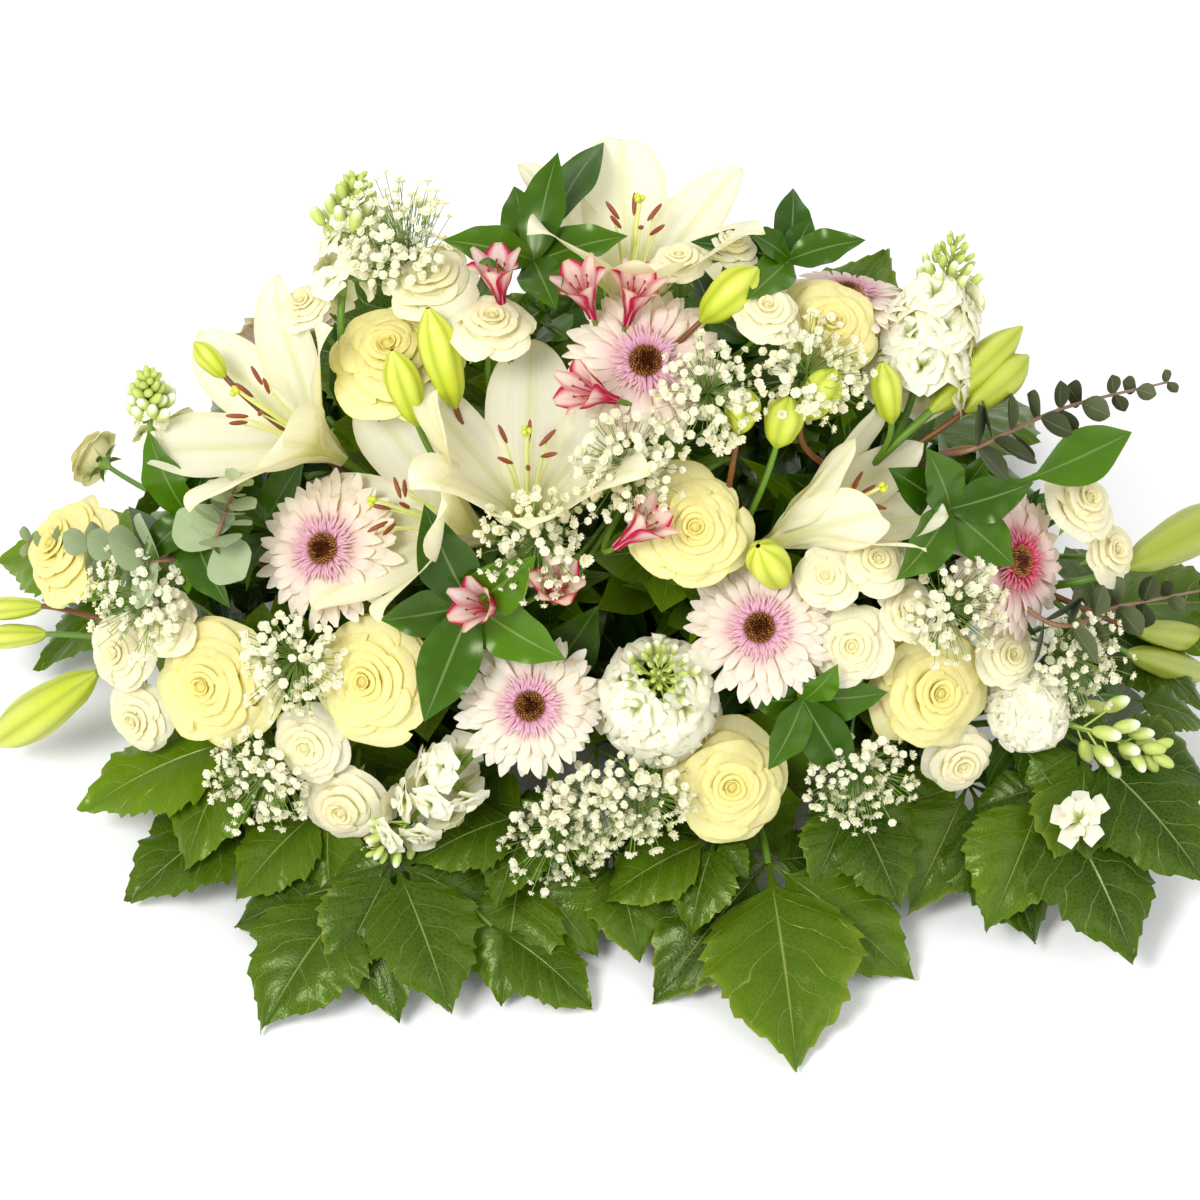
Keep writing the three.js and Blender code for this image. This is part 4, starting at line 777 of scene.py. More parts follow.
# The outlines of plain leaves, as half widths from foot to tip
OVAL = (0.1, 0.62, 0.95, 1.0, 0.8, 0.42, 0.0)
LANCE = (0.12, 0.8, 1, 0.72, 0.32, 0)
SMALLEST_LEAF = 12.0  # a leaf that would have to be shorter than this is left out
LOWEST_LEAF = 6.0  # how near to the lid the tip of a leaf on a stem comes
LOWEST_REAR = 8.0  # and that of one which lies back over the foam
REAR_FROM = 12.0  # stems that leave the foam behind this line have leaves over the tray's rear edge


def leaf_from(plant, foot, tip, half, lift, tints, rows=14, columns=9, shape=LANCE, finish=LEAF):
    """A plain pointed leaf between two points, arched by the lift, with its edges rippled a little."""
    way = tip - foot
    rise = unit(np.cross(np.cross(way, outward_from(tip)), way))
    u, v = grid(rows, columns)
    line = foot + way * v + rise * lift * 4 * v * (1 - v)
    side = np.cross(way, rise)
    widths = half * profile(shape, rows)
    phase = plant.draw.uniform(0, 6)
    points = blade(line, side, widths, columns, cup=0.18, fold=-0.12, ripple=half * 0.1, phase=phase)
    # Painted highlight: the leaf is lighter towards its edges and tip, besides its own tone drawn at random.
    tone = plant.draw.uniform(0.05, 0.65) + 0.3 * np.abs(u) * v
    plant.add(points, mixed(*tints, np.clip(tone, 0, 1)), finish)


def size_inside(foot, way, size, smallest):
    """The length of a leaf, shortened by steps until it stays under the blooms or is the smallest."""
    while share_of_dome(foot + way * size) > DEEPEST and size > smallest:
        size *= 0.85
    return size


def rear_leaves(plant, line, count, half):
    """Leaves on the lower part of a stem that lie back over the foam."""
    for _ in range(count):
        foot = point_at(line, plant.draw.uniform(0.1, 0.62))
        way = unit(BACK + 0.5 * outward_from(foot) + plant.draw.normal(size=3) * [0.5, 0.3, 0.4])
        size = size_inside(foot, way, plant.draw.uniform(58, 100), 20)
        tip = foot + way * size
        tip[2] = max(tip[2], LOWEST_REAR)
        leaf_from(plant, foot, tip, max(half, 17) * size / 80, size * 0.07, PAINTED_SHADE_TINTS, 8, 5, OVAL, GLOSSY)
    edge_leaves(plant, line)


def edge_leaves(plant, line):
    """Leaves at the foot of a stem in the rear half of the foam, which hang over the tray's rear edge."""
    foot = line[np.argmax(line[:, 2] > FOAM_TOP + 8)]
    if foot[1] < REAR_FROM:
        return
    for _ in range(5):
        way = unit(np.array([plant.draw.normal() * 0.6, 1.0, plant.draw.uniform(-0.22, 0.1)]))
        size = plant.draw.uniform(75, 112)
        leaf_from(plant, foot, foot + way * size, size * 0.24, 9.0, PAINTED_SHADE_TINTS, 8, 5, OVAL, GLOSSY)


def leaves_towards(plant, line, goals, half):
    """Broad leaves in the dark greens of painted shade, from the nearest point of a stem, each to a pixel at
    a share of the dome.
    """
    for *pixel, reach in goals:
        tip = on_dome(pixel, reach)
        if tip[2] < LOWEST_FILL:
            tip = on_level(pixel, LOWEST_FILL)
        foot = line[np.argmin(np.linalg.norm(line - tip, axis=1))]
        leaf_from(plant, foot, tip, half, 8.0, PAINTED_SHADE_TINTS, 12, 7, OVAL)


def stem_leaves(plant, line, count, length, half, span, shape=LANCE, finish=LEAF, tints=STEM_LEAF_TINTS):
    """Leaves that leave the stem in turn, each a golden angle round it from the last."""
    for k in range(count):
        share = span[0] + (span[1] - span[0]) * (k + 0.5) / count
        index = int(share * (len(line) - 1))
        foot = line[index]
        ahead = unit(line[min(index + 1, len(line) - 1)] - line[index - 1])
        aside = unit(np.cross(ahead, UP + 0.3 * RIGHT))
        up = np.cross(ahead, aside)
        angle = GOLDEN * k + plant.draw.uniform(-0.3, 0.3)
        way = unit(ahead * plant.draw.uniform(0.35, 0.7) + aside * math.cos(angle) + up * math.sin(angle))
        size = size_inside(foot, way, length * plant.draw.uniform(0.75, 1.1), SMALLEST_LEAF)
        if size <= SMALLEST_LEAF:
            continue
        tip = foot + way * size
        tip[2] = max(tip[2], LOWEST_LEAF)
        leaf_from(plant, foot, tip, half, size * 0.06, tints, 9, 7, shape, finish)
    rear_leaves(plant, line, count, half)


# Lilies
def lily_corolla(plant, matrix, opened):
    """Six petals on a funnel, the inner three over the outer. Along each, the radius and height follow a
    smooth line, the half width swells and draws to a point, and the edges wave."""
    for k in range(6):
        inner = k % 2 == 0
        draw = plant.draw.uniform(-1, 1, 4)
        raised = 1.2 if inner else -1.4
        line = smooth(
            [
                (0, 3.5, -42),
                (0, 7, -28),
                (0, 13, -11 + raised),
                (0, 31 * opened + 3, 12 + raised),
                (0, 60 * opened, 38 + 14 * (1 - opened) + raised + draw[0]),
                (draw[1] * 2, 77 * opened, 51 + 30 * (1 - opened) + raised),
                (draw[1] * 4, 86 * opened, 51 + 40 * (1 - opened) + 2 * draw[2]),
            ],
            26,
        )
        widest = (28 if inner else 23) * (0.45 + 0.55 * opened)
        widths = widest * profile([0.14, 0.2, 0.38, 0.72, 0.98, 1.0, 0.74, 0.34, 0.0], 26)
        widths[-1] = 0.05
        wave = dict(ripple=2.2, waves=2.4, phase=6 * draw[3])
        points = blade(line, (1, 0, 0), widths, 13, cup=0.26, fold=-0.12, **wave)
        u, v = grid(26, 13)
        u = np.abs(u)
        colour = mixed(LILY_WHITE, LILY_THROAT, 0.9 * (1 - step_between(0.1, 0.5, v)) * np.exp(-u * u))
        colour = mixed(colour, LILY_RIB, 0.6 * np.exp(-((u / 0.16) ** 2)) * (1 - 0.5 * v))
        ribs = np.clip(np.cos(11 * u), 0, 1) * (1 - u) * (1 - 0.7 * v)
        colour = mixed(colour, LILY_RIB, np.clip(0.35 * ribs + 0.7 * step_between(0.88, 1.0, v), 0, 1))
        # Painted shade: the petal darkens towards its margins.
        colour = mixed(colour, LILY_EDGE_SHADE, 0.8 * step_between(0.7, 1.0, u))
        plant.add_turned(points, (k * 60 + 3 * draw[0]) * math.pi / 180, matrix, colour, PETAL)


def lily_heart(plant, matrix, opened):
    """Six stamens that part from the throat, each with an anther that swings across its end, and a pistil
    with three knobs."""
    for k in range(6):
        angle = math.radians(60 * k + 30 + plant.draw.uniform(-8, 8))
        reach = plant.draw.uniform(0.85, 1.1)
        bent = [(3, 0, -35), (5, 0, -8), (5 + 5 * opened, 0, 18), (6 + 10 * opened * reach, 0, 38 * reach)]
        line = smooth(turned(bent, [angle])[0], 12)
        plant.add(placed(tube(line, np.linspace(1.1, 0.6, 12), 6), matrix), FILAMENT, STEM, True)
        across = unit(round_axis(angle, 1, plant.draw.uniform(0.4, 2.2)))
        anther = placed(ellipsoid(15, 1.6), frame_at(line[-1] + np.array([0, 0, 1.2]), across))
        plant.add(placed(anther, matrix), ANTHER, STEM, True)
    pistil = smooth([(0, 0, -36), (0.6, 0, 0), (0.2, 0.6, 36), (1.5, 1, 52)], 14)
    plant.add(placed(tube(pistil, np.linspace(1.6, 1.2, 14), 8), matrix), FILAMENT, STEM, True)
    knob, third_turn = ellipsoid(5, 2.1) + [2.0, 0, 53.5], 2.094
    for k in range(3):
        plant.add_turned(knob, k * third_turn, matrix, STIGMA, STEM, True)


def lily_bud(plant, base, tip, width):
    """A spindle with six soft ridges: the radius is a smooth run from base to tip, times one plus a small
    cosine of six turns round, and the seams between the closed petals are darker."""
    length = np.linalg.norm(tip - base)
    rows, sides = 22, 24
    angle = np.arange(sides) * 2 * math.pi / sides
    radii = width * 0.5 * profile([0.12, 0.66, 0.86, 1.0, 1.0, 0.74, 0.12], rows)
    ridge = np.cos(6 * angle)
    around = radii[:, None] * (1 + 0.04 * ridge)
    height = np.linspace(0, length, rows)[:, None]
    points = np.stack([around * np.cos(angle), around * np.sin(angle), height + 0 * around], -1)
    tone = 0.5 - 0.5 * ridge[None]
    share = height / length
    green = mixed(BUD_GREEN, BUD_RIDGE, 0.55 * tone**3 + 0.4 * (1 - step_between(0, 0.35, share)))
    colour = mixed(green, BUD_CREAM, 0.5 * step_between(0.25, 0.6, share) * (1 - tone))
    to_the_right = step_between(150, 380, tip[0])
    colour = mixed(colour, BUD_OLIVE, 0.25 * plant.draw.uniform() + 0.55 * to_the_right)
    matrix = frame_at(base, unit(tip - base), plant.draw.uniform(0, 60))
    plant.add(placed(points, matrix), colour, STEM, True)


def grow_buds(plant, stem, buds):
    """Each bud on a side stalk, every second one red."""
    for k, row in enumerate(buds):
        base, tip, facing = two_ends(row)
        lily_bud(plant, base, tip, row["width"])
        red = 0.8 if k % 2 == 0 else 0.0
        grow_stalk(plant, stem, base + facing * 5, facing, 2.4, colour=mixed(STEM_GREEN, STEM_RED, red))


def make_lilies():
    """Open lilies with their buds, then the stems that carry buds alone."""
    for k, row in enumerate(LILIES, 1):
        plant, name = Plant(100 + k), f"lily_{k}"
        point, facing = spot(row)
        opened = row.get("open", 1.0)
        matrix = frame_at(point, facing, row.get("spin", 0))
        stem = grow_stem(plant, name, point - facing * 41, facing, 3.4)
        lily_corolla(plant, matrix, opened)
        lily_heart(plant, matrix, opened)
        grow_buds(plant, stem, row.get("buds", []))
        stem_leaves(plant, stem, count=14, length=66, half=12, span=(0.3, 0.7), finish=GLOSSY)
        plant.made(f"white_lily_{k}", "lily", name)
    for k, (first, *others) in enumerate(LILY_BUDS, 1):
        plant, name = Plant(120 + k), f"lily_buds_{k}"
        base, tip, facing = two_ends(first)
        stem = grow_stem(plant, name, base + facing * 5, facing, 3.2)
        lily_bud(plant, base, tip, first["width"])
        grow_buds(plant, stem, others)
        stem_leaves(plant, stem, count=8, length=70, half=10, span=(0.4, 0.88), finish=GLOSSY)
        plant.made(f"closed_lily_buds_{k}", "bud", name)


# Gerberas. A layer of rays is its count, the radius it reaches to as a share of the head's, the heights it
# rises from and to, a ray's half width as a share, how much more flushed it is, and where its first ray is.
RAY_LAYERS = [
    (30, 1.0, -3, -3, 0.084, 1.0, 0.0),
    (28, 0.93, 0, 1.0, 0.08, 1.0, 0.5),
    (25, 0.76, 2.5, 5.5, 0.068, 1.3, 0.25),
]


def ray_layer(plant, matrix, size, count, outer, low, high, half, flush, start):
    """A ring of strap-shaped petals from the eye to the outer radius. Each rises from low to high with its
    own small lean, has two grooves and a blunt point, and pales from its flushed base."""
    inner = 0.22
    for k in range(count):
        draw = plant.draw.uniform(-1, 1, 6)
        reach = outer * (1 - 0.05 + 0.06 * draw[0])
        line = smooth(
            [
                (0, size * inner, low),
                (0, size * (inner * 0.6 + reach * 0.4), (low + high) / 2 + 2.0),
                (0, size * (inner * 0.25 + reach * 0.75), high + 1.8 + 1.2 * draw[1]),
                (draw[5] * 2.4, size * reach, high - 1.5 + 3.4 * draw[2]),
            ],
            11,
        )
        widths = half * profile([0.5, 0.78, 0.92, 1.0, 1.0, 0.82, 0.16], 11)
        widths = widths * (1 + 0.12 * draw[4])
        points = blade(line, (1, 0.05 * draw[3], 0.3 * draw[4]), widths, 7, cup=-0.18)
        u, v = grid(11, 7)
        points[..., 2] += 0.45 * np.cos(3 * np.pi * u) * np.sin(math.pi * v)
        colour = mixed(GERBERA_TIP, GERBERA_FLUSH, flush * (1.0 - 0.75 * step_between(0.1, 0.8, v)))
        angle = 2 * math.pi * (k + start) / count + 0.07 * draw[3]
        plant.add_turned(points, angle, matrix, colour, PETAL)


# The fringe round a gerbera's eye, outer ring first: its count of florets, where they start and end as
# shares of the head's radius, and the height they start and bend at
FRINGE = [(54, 0.2, 0.43, 5, 8.5), (48, 0.19, 0.37, 6, 10), (42, 0.17, 0.3, 6, 10)]
EYE_FLORETS = 120


def gerbera_heart(plant, matrix, size, flush):
    """A fringe of narrow florets round a domed eye of pointed ones, set a golden angle apart."""
    pink = mixed(RING_PALE, RING_STRONG, step_between(0.45, 1.0, flush))
    paler = 0.45 * step_between(0.3, 1, np.linspace(0, 1, 5)[:, None])
    for count, inner, outer, low, high in FRINGE:
        for k in range(count):
            draw = plant.draw.uniform(-1, 1, 4)
            out = outer * (1 + 0.13 * draw[2])
            end = (draw[3], size * out, high + 1.6 * draw[0])
            line = smooth([(0, size * inner, low), (0, size * (inner + out) / 2, high), end], 5)
            points = blade(line, (1, 0, 0.3 * draw[3]), 0.95 * profile([0.7, 1.0, 0.3], 5), 3, cup=-0.3)
            angle = 2 * math.pi * (k + draw[1] * 0.4) / count
            plant.add_turned(points, angle, matrix, mixed(pink, GERBERA_TIP, paler), PETAL)
    count = EYE_FLORETS
    place = np.arange(count)
    share = np.sqrt((place + 0.5) / count)
    radius, angle = size * 0.2 * share, place * GOLDEN
    height = 7.0 + 2.2 * np.cos(share * 1.4) + plant.draw.uniform(-0.4, 0.4, count)
    cone = ring_surface([(1.0, -2.0), (1.0, 0.0), (0.1, 2.4)], 5)
    spots = np.stack([radius * np.cos(angle), radius * np.sin(angle), height], -1)
    gold = step_between(0.35, 0.85, share + plant.draw.uniform(-0.25, 0.25, count))
    dark = mixed(DISC_DARK, DISC_BROWN, plant.draw.uniform(0, 1, count))[:, None, None]
    tips = gold[:, None, None] * np.array([0.0, 0.3, 1.0])[:, None]
    plant.add(placed(cone[None] + spots[:, None, None], matrix), mixed(dark, DISC_GOLD, tips), STEM, True)
    bed = [(0.0, 6.5), (0.12, 6.4), (0.22, 4.5), (0.3, 1), (0.24, -6), (0.1, -9), (0.0, -9)]
    bed_shade = mixed(DISC_DARK, SEPAL, step_between(0.35, 0.6, np.linspace(0, 1, len(bed))[:, None]))
    rings = ring_surface([(out * size, height) for out, height in bed], 20)
    plant.add(placed(rings, matrix), bed_shade, STEM, True)


def make_gerberas():
    """Three layers of ray petals round each heart, and green bracts behind."""
    for k, row in enumerate(GERBERAS, 1):
        plant, name = Plant(200 + k), f"gerbera_{k}"
        point, facing = spot(row)
        matrix = frame_at(point, facing, 7 * (k - 1))
        size, flush = row["width"] / 2, row["flush"]
        stem = grow_stem(plant, name, point - facing * 6, facing, 2.9)
        for *layer, half, more_flush, start in RAY_LAYERS:
            ray_layer(plant, matrix, size, *layer, size * half, min(1, flush * more_flush), start)
        gerbera_heart(plant, matrix, size, flush)
        rib = smooth([(0, 0.1 * size, -8), (0, 0.26 * size, -7), (0, 0.4 * size, -5.5)], 5)
        bract = blade(rib, (1, 0, 0), 2.4 * profile([1, 0.9, 0.1], 5), 3)
        plant.add(placed(turned(bract, np.arange(20) * math.pi / 10), matrix), SEPAL, STEM)
        stem_leaves(plant, stem, count=7, length=80, half=16, span=(0.3, 0.8), shape=OVAL, tints=PAINTED_SHADE_TINTS)
        plant.made(f"pink_white_gerbera_{k}", "gerbera", name)


# Roses. A whorl is its count of petals, then its rim's radius, the radius where it rolls out, its top and
# how far the rim drops, all as shares of the head's radius, and the half angle that a petal wraps.
ROSE_WHORLS = [
    (5, 0.98, 0.80, -0.02, 0.20, 0.92),
    (5, 0.86, 0.66, 0.12, 0.17, 0.9),
    (5, 0.71, 0.52, 0.24, 0.13, 0.94),
    (4, 0.56, 0.39, 0.33, 0.09, 1.12),
    (4, 0.43, 0.29, 0.39, 0.06, 1.2),
    (3, 0.31, 0.2, 0.43, 0.035, 1.5),
    (3, 0.21, 0.13, 0.45, 0.02, 1.7),
    (2, 0.12, 0.09, 0.455, 0.0, 2.3),
]
SMALL_ROSE_WHORLS = [
    (5, 0.98, 0.76, 0.02, 0.2, 0.96),
    (5, 0.82, 0.59, 0.18, 0.15, 0.97),
    (4, 0.63, 0.42, 0.31, 0.1, 1.14),
    (3, 0.44, 0.27, 0.385, 0.05, 1.45),
    (3, 0.28, 0.16, 0.42, 0.02, 1.6),
    (2, 0.14, 0.1, 0.43, 0.0, 2.3),
]
# The closed heart that the whorls stand round: radii and heights as shares of the head's radius
ROSE_CROWN = np.array(
    [(0, 0.43), (0.05, 0.42), (0.09, 0.36), (0.3, 0.24), (0.55, 0.1), (0.62, -0.1), (0.3, -0.42), (0, -0.5)]
)


def rose_head(plant, matrix, size, whorls, rows, columns, tints, specks=False):
    """Whorls of petals round a closed heart. At u across and v up a petal, its radius runs from the foot to
    the wall as the root of v, then rolls out to the rim. Its height is a quarter of a sine that drops again
    at the rim. The rim falls away at the sides, comes to a slight point, and waves, and one side lies over
    the next."""
    outer_tint, heart_tint, base_and_shade_tint = tints
    u, v = grid(rows, columns)
    shift = plant.draw.uniform(-0.05, 0.05, 2)
    for level, (count, rim, wall, top, drop, spread) in enumerate(whorls):
        heart = level / (len(whorls) - 1)
        loose = 1 - heart
        first = plant.draw.uniform(0, 6)
        for k in range(count):
            draw = plant.draw.uniform(-1, 1, 8)
            w = v * (1 - (0.28 - 0.16 * heart) * np.abs(u + 0.2 * draw[6]) ** 2.4)
            reach = rim * (1 + 0.09 * draw[0] * loose)
            inward = wall * (1 + 0.05 * draw[7])
            peak = top + 0.06 * draw[1] * (1 - 0.5 * heart)
            foot = 0.03 + 0.3 * wall
            roll = step_between(0.5, 1.0, w)
            radius = foot + (inward - foot) * w**0.5 + (reach - inward) * roll
            radius = radius + (0.045 + 0.02 * draw[5]) * u * (0.3 + 0.7 * loose)
            radius = radius + 0.05 * roll * np.exp(-(((u - 0.3 * draw[6]) / 0.22) ** 2)) * loose
            radius = radius + 0.03 * np.sin(3.1 * u + 5 * draw[3]) * w * loose
            height = -0.5 + (peak + 0.5) * np.sin(np.minimum(1, w / 0.8) * math.pi / 2)
            height = height - drop * (1 + 0.5 * draw[2]) * roll**2 * (0.6 + 0.6 * u * u)
            height = height + 0.04 * np.cos(4.4 * u + 4 * draw[4]) * roll * (1 - 0.7 * heart)
            angle = 2 * math.pi * (k + 0.16 * draw[5]) / count + first
            angle = angle + spread * u * (0.5 + 0.5 * np.sqrt(w))
            across, along = radius * np.cos(angle), radius * np.sin(angle)
            away = [across + shift[0] * heart, along + shift[1] * heart, height]
            depth = np.clip(0.85 * heart + 0.3 * (1 - w) + 0.08 * draw[1], 0, 1)
            # Painted shade: near the rim the petal turns back towards the colour of its foot, so that each
            # rim stands out from the petal behind.
            edge = 1 - 0.45 * step_between(0.9, 1.0, v)
            colour = mixed(outer_tint, heart_tint, depth)
            # Partly painted shade: low down, deep in the cup, the petal takes its foot colour.
            colour = mixed(base_and_shade_tint, colour, step_between(0.2, 0.75, w) * edge)
            if specks and level < 2 and draw[2] > 0.2:
                near = np.exp(-((u - draw[3]) ** 2) / 0.03)
                colour = mixed(colour, SPECK, 0.8 * step_between(0.94, 1.0, v) * near)
            plant.add(placed(size * np.stack(away, -1), matrix), colour, PETAL)
    dome = ring_surface(size * ROSE_CROWN, 18) + size * np.array([*shift, 0.0]) * 0.9
    # The closed heart is tinted partly with the foot colour, partly as painted shade deep in the flower.
    plant.add(placed(dome, matrix), mixed(heart_tint, base_and_shade_tint, 0.4), PETAL, True)


def sepals(plant, matrix, size, depth):
    """A cup under the head and five pointed sepals that lie back from it."""
    cup = [(1.5, -depth - 4), (size * 0.16, -depth), (size * 0.26, -depth * 0.75), (size * 0.3, -depth / 2)]
    plant.add(placed(ring_surface(cup, 10), matrix), SEPAL, STEM, True)
    bent = [(0, size * 0.2, -depth * 0.8), (0, size * 0.5, -depth * 0.78), (0, size * 0.78, -depth * 0.95)]
    sepal = blade(smooth(bent, 8), (1, 0, 0), size * 0.11 * profile([0.8, 1.0, 0.6, 0.05], 8), 5, cup=0.2)
    plant.add(placed(turned(sepal, np.arange(5) * 2 * math.pi / 5), matrix), SEPAL, STEM)


def make_roses():
    """Each rose on a leafy stem."""
    for k, row in enumerate(ROSES, 1):
        plant, name = Plant(300 + k), f"rose_{k}"
        point, facing = spot(row)
        size = row["width"] / 2
        matrix = frame_at(point, facing, 23 * (k - 1))
        stem = grow_stem(plant, name, point - facing * (size * 0.66 - 4), facing, 3.0)
        rose_head(plant, matrix, size, ROSE_WHORLS, 12, 15, CREAM_TINTS, k in SPECKED_ROSES)
        sepals(plant, matrix, size, size * 0.6)
        stem_leaves(plant, stem, count=12, length=66, half=21, span=(0.35, 0.88), shape=OVAL)
        plant.made(f"cream_rose_{k}", "rose", name)


def make_sprays(rows, seed, name, titles, depth_of, head_of, leaves):
    """Plants with several heads: the first ends the stem and the others sit on stalks that leave it. The
    depth is how far under a head's middle its stem ends, and the titles are the piece's name and a slot,
    which is not used."""
    radius = 2.2
    for k, heads in enumerate(rows, 1):
        plant, node_name = Plant(seed + k), f"{name}_{k}"
        stem = None
        for i, head in enumerate(heads):
            point, facing = spot(head)
            base = point - facing * depth_of(head)
            head_of(plant, head, frame_at(point, facing, 40 * i))
            if stem is None:
                stem = grow_stem(plant, node_name, base, facing, radius)
            else:
                grow_stalk(plant, stem, base, facing, radius)
        stem_leaves(plant, stem, **leaves)
        plant.made(f"{titles[0]}_{k}", titles[1], node_name)


def spray_rose_head(plant, head, matrix):
    """A small white rose over its sepals."""
    size = head["width"] / 2
    rose_head(plant, matrix, size, SMALL_ROSE_WHORLS, 9, 11, WHITE_TINTS)
    sepals(plant, matrix, size, size * 0.62)


# Alstroemerias
def alstroemeria_head(plant, head, matrix):
    """Six petals on a funnel, three broad and three narrow, white with magenta margins and stripes, which
    are bells and sines of the place across, and green tips."""
    for k in range(6):
        broad = k % 2 == 0
        draw = plant.draw.uniform(-1, 1, 3)
        end = (15 if broad else 17) + draw[1]
        line = smooth([(0, 1.5, -24), (0, 4, -12), (0, 7.5, -2), (0, 11.5, 8), (draw[0], 18, end)], 14)
        widths = (9.6 if broad else 6.2) * profile([0.3, 0.42, 0.72, 1.0, 0.3], 14)
        points = blade(line, (1, 0, 0), widths, 11, cup=0.25, ripple=0.6, waves=2, phase=draw[2] * 6)
        u, v = grid(14, 11)
        margin = np.exp(-((np.abs(u) - 1.0) ** 2) / 0.16) * step_between(0.15, 0.5, v)
        stripe = 0.5 * np.clip(np.cos(9 * u), 0, 1) * (1 - v) * step_between(0.2, 0.4, v)
        pink = np.clip(margin + stripe + 0.22 + 0.8 * (1 - step_between(0.2, 0.7, v)), 0, 1)
        colour = mixed(ALSTRO_WHITE, ALSTRO_PINK, pink if broad else 0.6 * pink)
        colour = mixed(colour, ALSTRO_GREEN, 0.6 * step_between(0.92, 1.0, v) * np.exp(-((u / 0.5) ** 2)))
        plant.add_turned(points, math.radians(60 * k) + 0.05 * draw[0], matrix, colour, PETAL)
    filament = tube(smooth([(1, 0, -16), (3, 0, 0), (6, 0, 9)], 6), 0.4, 4)
    knob = ellipsoid(3, 0.9, 5, 5) + [6, 0, 9.5]
    fifth_turn = 1.256
    for k in range(5):
        angle = fifth_turn * k + 0.3
        plant.add_turned(filament, angle, matrix, ALSTRO_PINK, STEM, True)
        plant.add_turned(knob, angle, matrix, ANTHER, STEM, True)


# Stock
SLENDER = 70.0  # a spike narrower than this has fewer florets, and its buds start lower


def stock_floret(plant, matrix, radius, fullness=0.6):
    """A double floret: three whorls of ruffled petals round a green heart, each smaller and steeper."""
    colour = mixed(STOCK_HEART, STOCK_WHITE, step_between(0.05, 0.45, np.linspace(0, 1, 6)[:, None]))
    for petals, reach, tilt in ((5, 1.0, 0.1), (5, 0.74, 0.42), (3, 0.42, 0.95)):
        for k in range(petals):
            draw = plant.draw.uniform(-1, 1, 4)
            out = radius * reach * (1 + 0.08 * draw[2])
            rise = out * tilt * (1 + 0.3 * draw[0])
            middle = (0, out * 0.5, rise * 0.9 + 0.06 * out)
            line = smooth([(0, 0.4, 0), middle, (0, out, rise + 0.1 * radius * draw[1])], 6)
            widths = out * fullness * profile([0.14, 0.62, 1.0, 0.84], 6)
            points = blade(line, (1, 0, 0.2 * draw[2]), widths, 7, -0.2, 0, 0.1 * radius, 1.0, 6 * draw[3])
            angle = 2 * math.pi * (k + 0.15 * draw[2]) / petals + 2 * tilt
            plant.add_turned(points, angle, matrix, colour, PETAL)


def frame_out(spike, foot, out):
    """The spike's frame moved to the foot and turned so that its third axis is the way out."""
    return frame_at(placed(foot, spike), spike[:3, :3] @ unit(out))


def spike_florets(plant, spike, row, length):
    """Double florets up a spike, a golden angle apart, smaller and nearer to it towards the tip."""
    florets = int(row["florets"] * (2.0 if row["width"] < SLENDER else 2.8))
    for i in range(florets):
        share = 0.02 + 0.66 * i / florets
        angle = GOLDEN * i
        out = round_axis(angle, 1, 0.2 + 0.9 * share)
        foot = round_axis(angle, row["width"] * 0.24 * (1 - 0.45 * share), length * share)
        stock_floret(plant, frame_out(spike, foot, out), row["width"] * 0.19 * (1 - 0.25 * share))
        plant.add(placed(tube(np.stack([foot * [0, 0, 1], foot]), 1.0, 5), spike), SEPAL, STEM, True)


def foot_florets(plant, middle, count):
    """Double florets that crowd over a point, a golden angle apart on a bowl turned to the viewer."""
    for i in range(count):
        lean, turn = 0.42 * math.sqrt(i), GOLDEN * i
        out = TOWARD * math.cos(lean) + (RIGHT * math.cos(turn) + UP * math.sin(turn)) * math.sin(lean)
        stock_floret(plant, frame_at(middle + out * 21, out), 16.0)


def spike_buds(plant, spike, row, length, slender, bunched):
    """Green buds on short stalks round the upper part of a spike, the lowest of them opening white."""
    count = 18 if bunched else 34
    first = 0.4 if slender else 0.58
    spindle_rows, sides = 8, 9
    along = np.linspace(0, 1, spindle_rows)[:, None]
    for i in range(count):
        share = first + (1 - first) * i / count
        angle = GOLDEN * i + 0.7
        away = row["width"] * (0.2 - 0.17 * i / count) * (1.7 if slender else 1.0)
        away = away * plant.draw.uniform(0.75, 1.15)
        centre = round_axis(angle, away, length * share + away * 0.6)
        size = (6.6 if slender else 5.2) - 0.1 * i + 1.4 * bunched
        out = round_axis(angle, 1, 1.4) + plant.draw.uniform(-0.4, 0.4, 3)
        opening = 0.8 * step_between(0.5, 0.9, along) * (i < 14)
        spindle = ellipsoid(size * 2.6, size * 0.66, spindle_rows, sides)
        colour = mixed(STOCK_BUD, STOCK_WHITE, opening)
        plant.add(placed(spindle, frame_out(spike, centre, out)), colour, STEM, True)
        stalk = np.stack([np.array([0, 0, length * (share - 0.03)]), centre])
        plant.add(placed(tube(stalk, 0.8, 5), spike), STOCK_BUD, STEM, True)


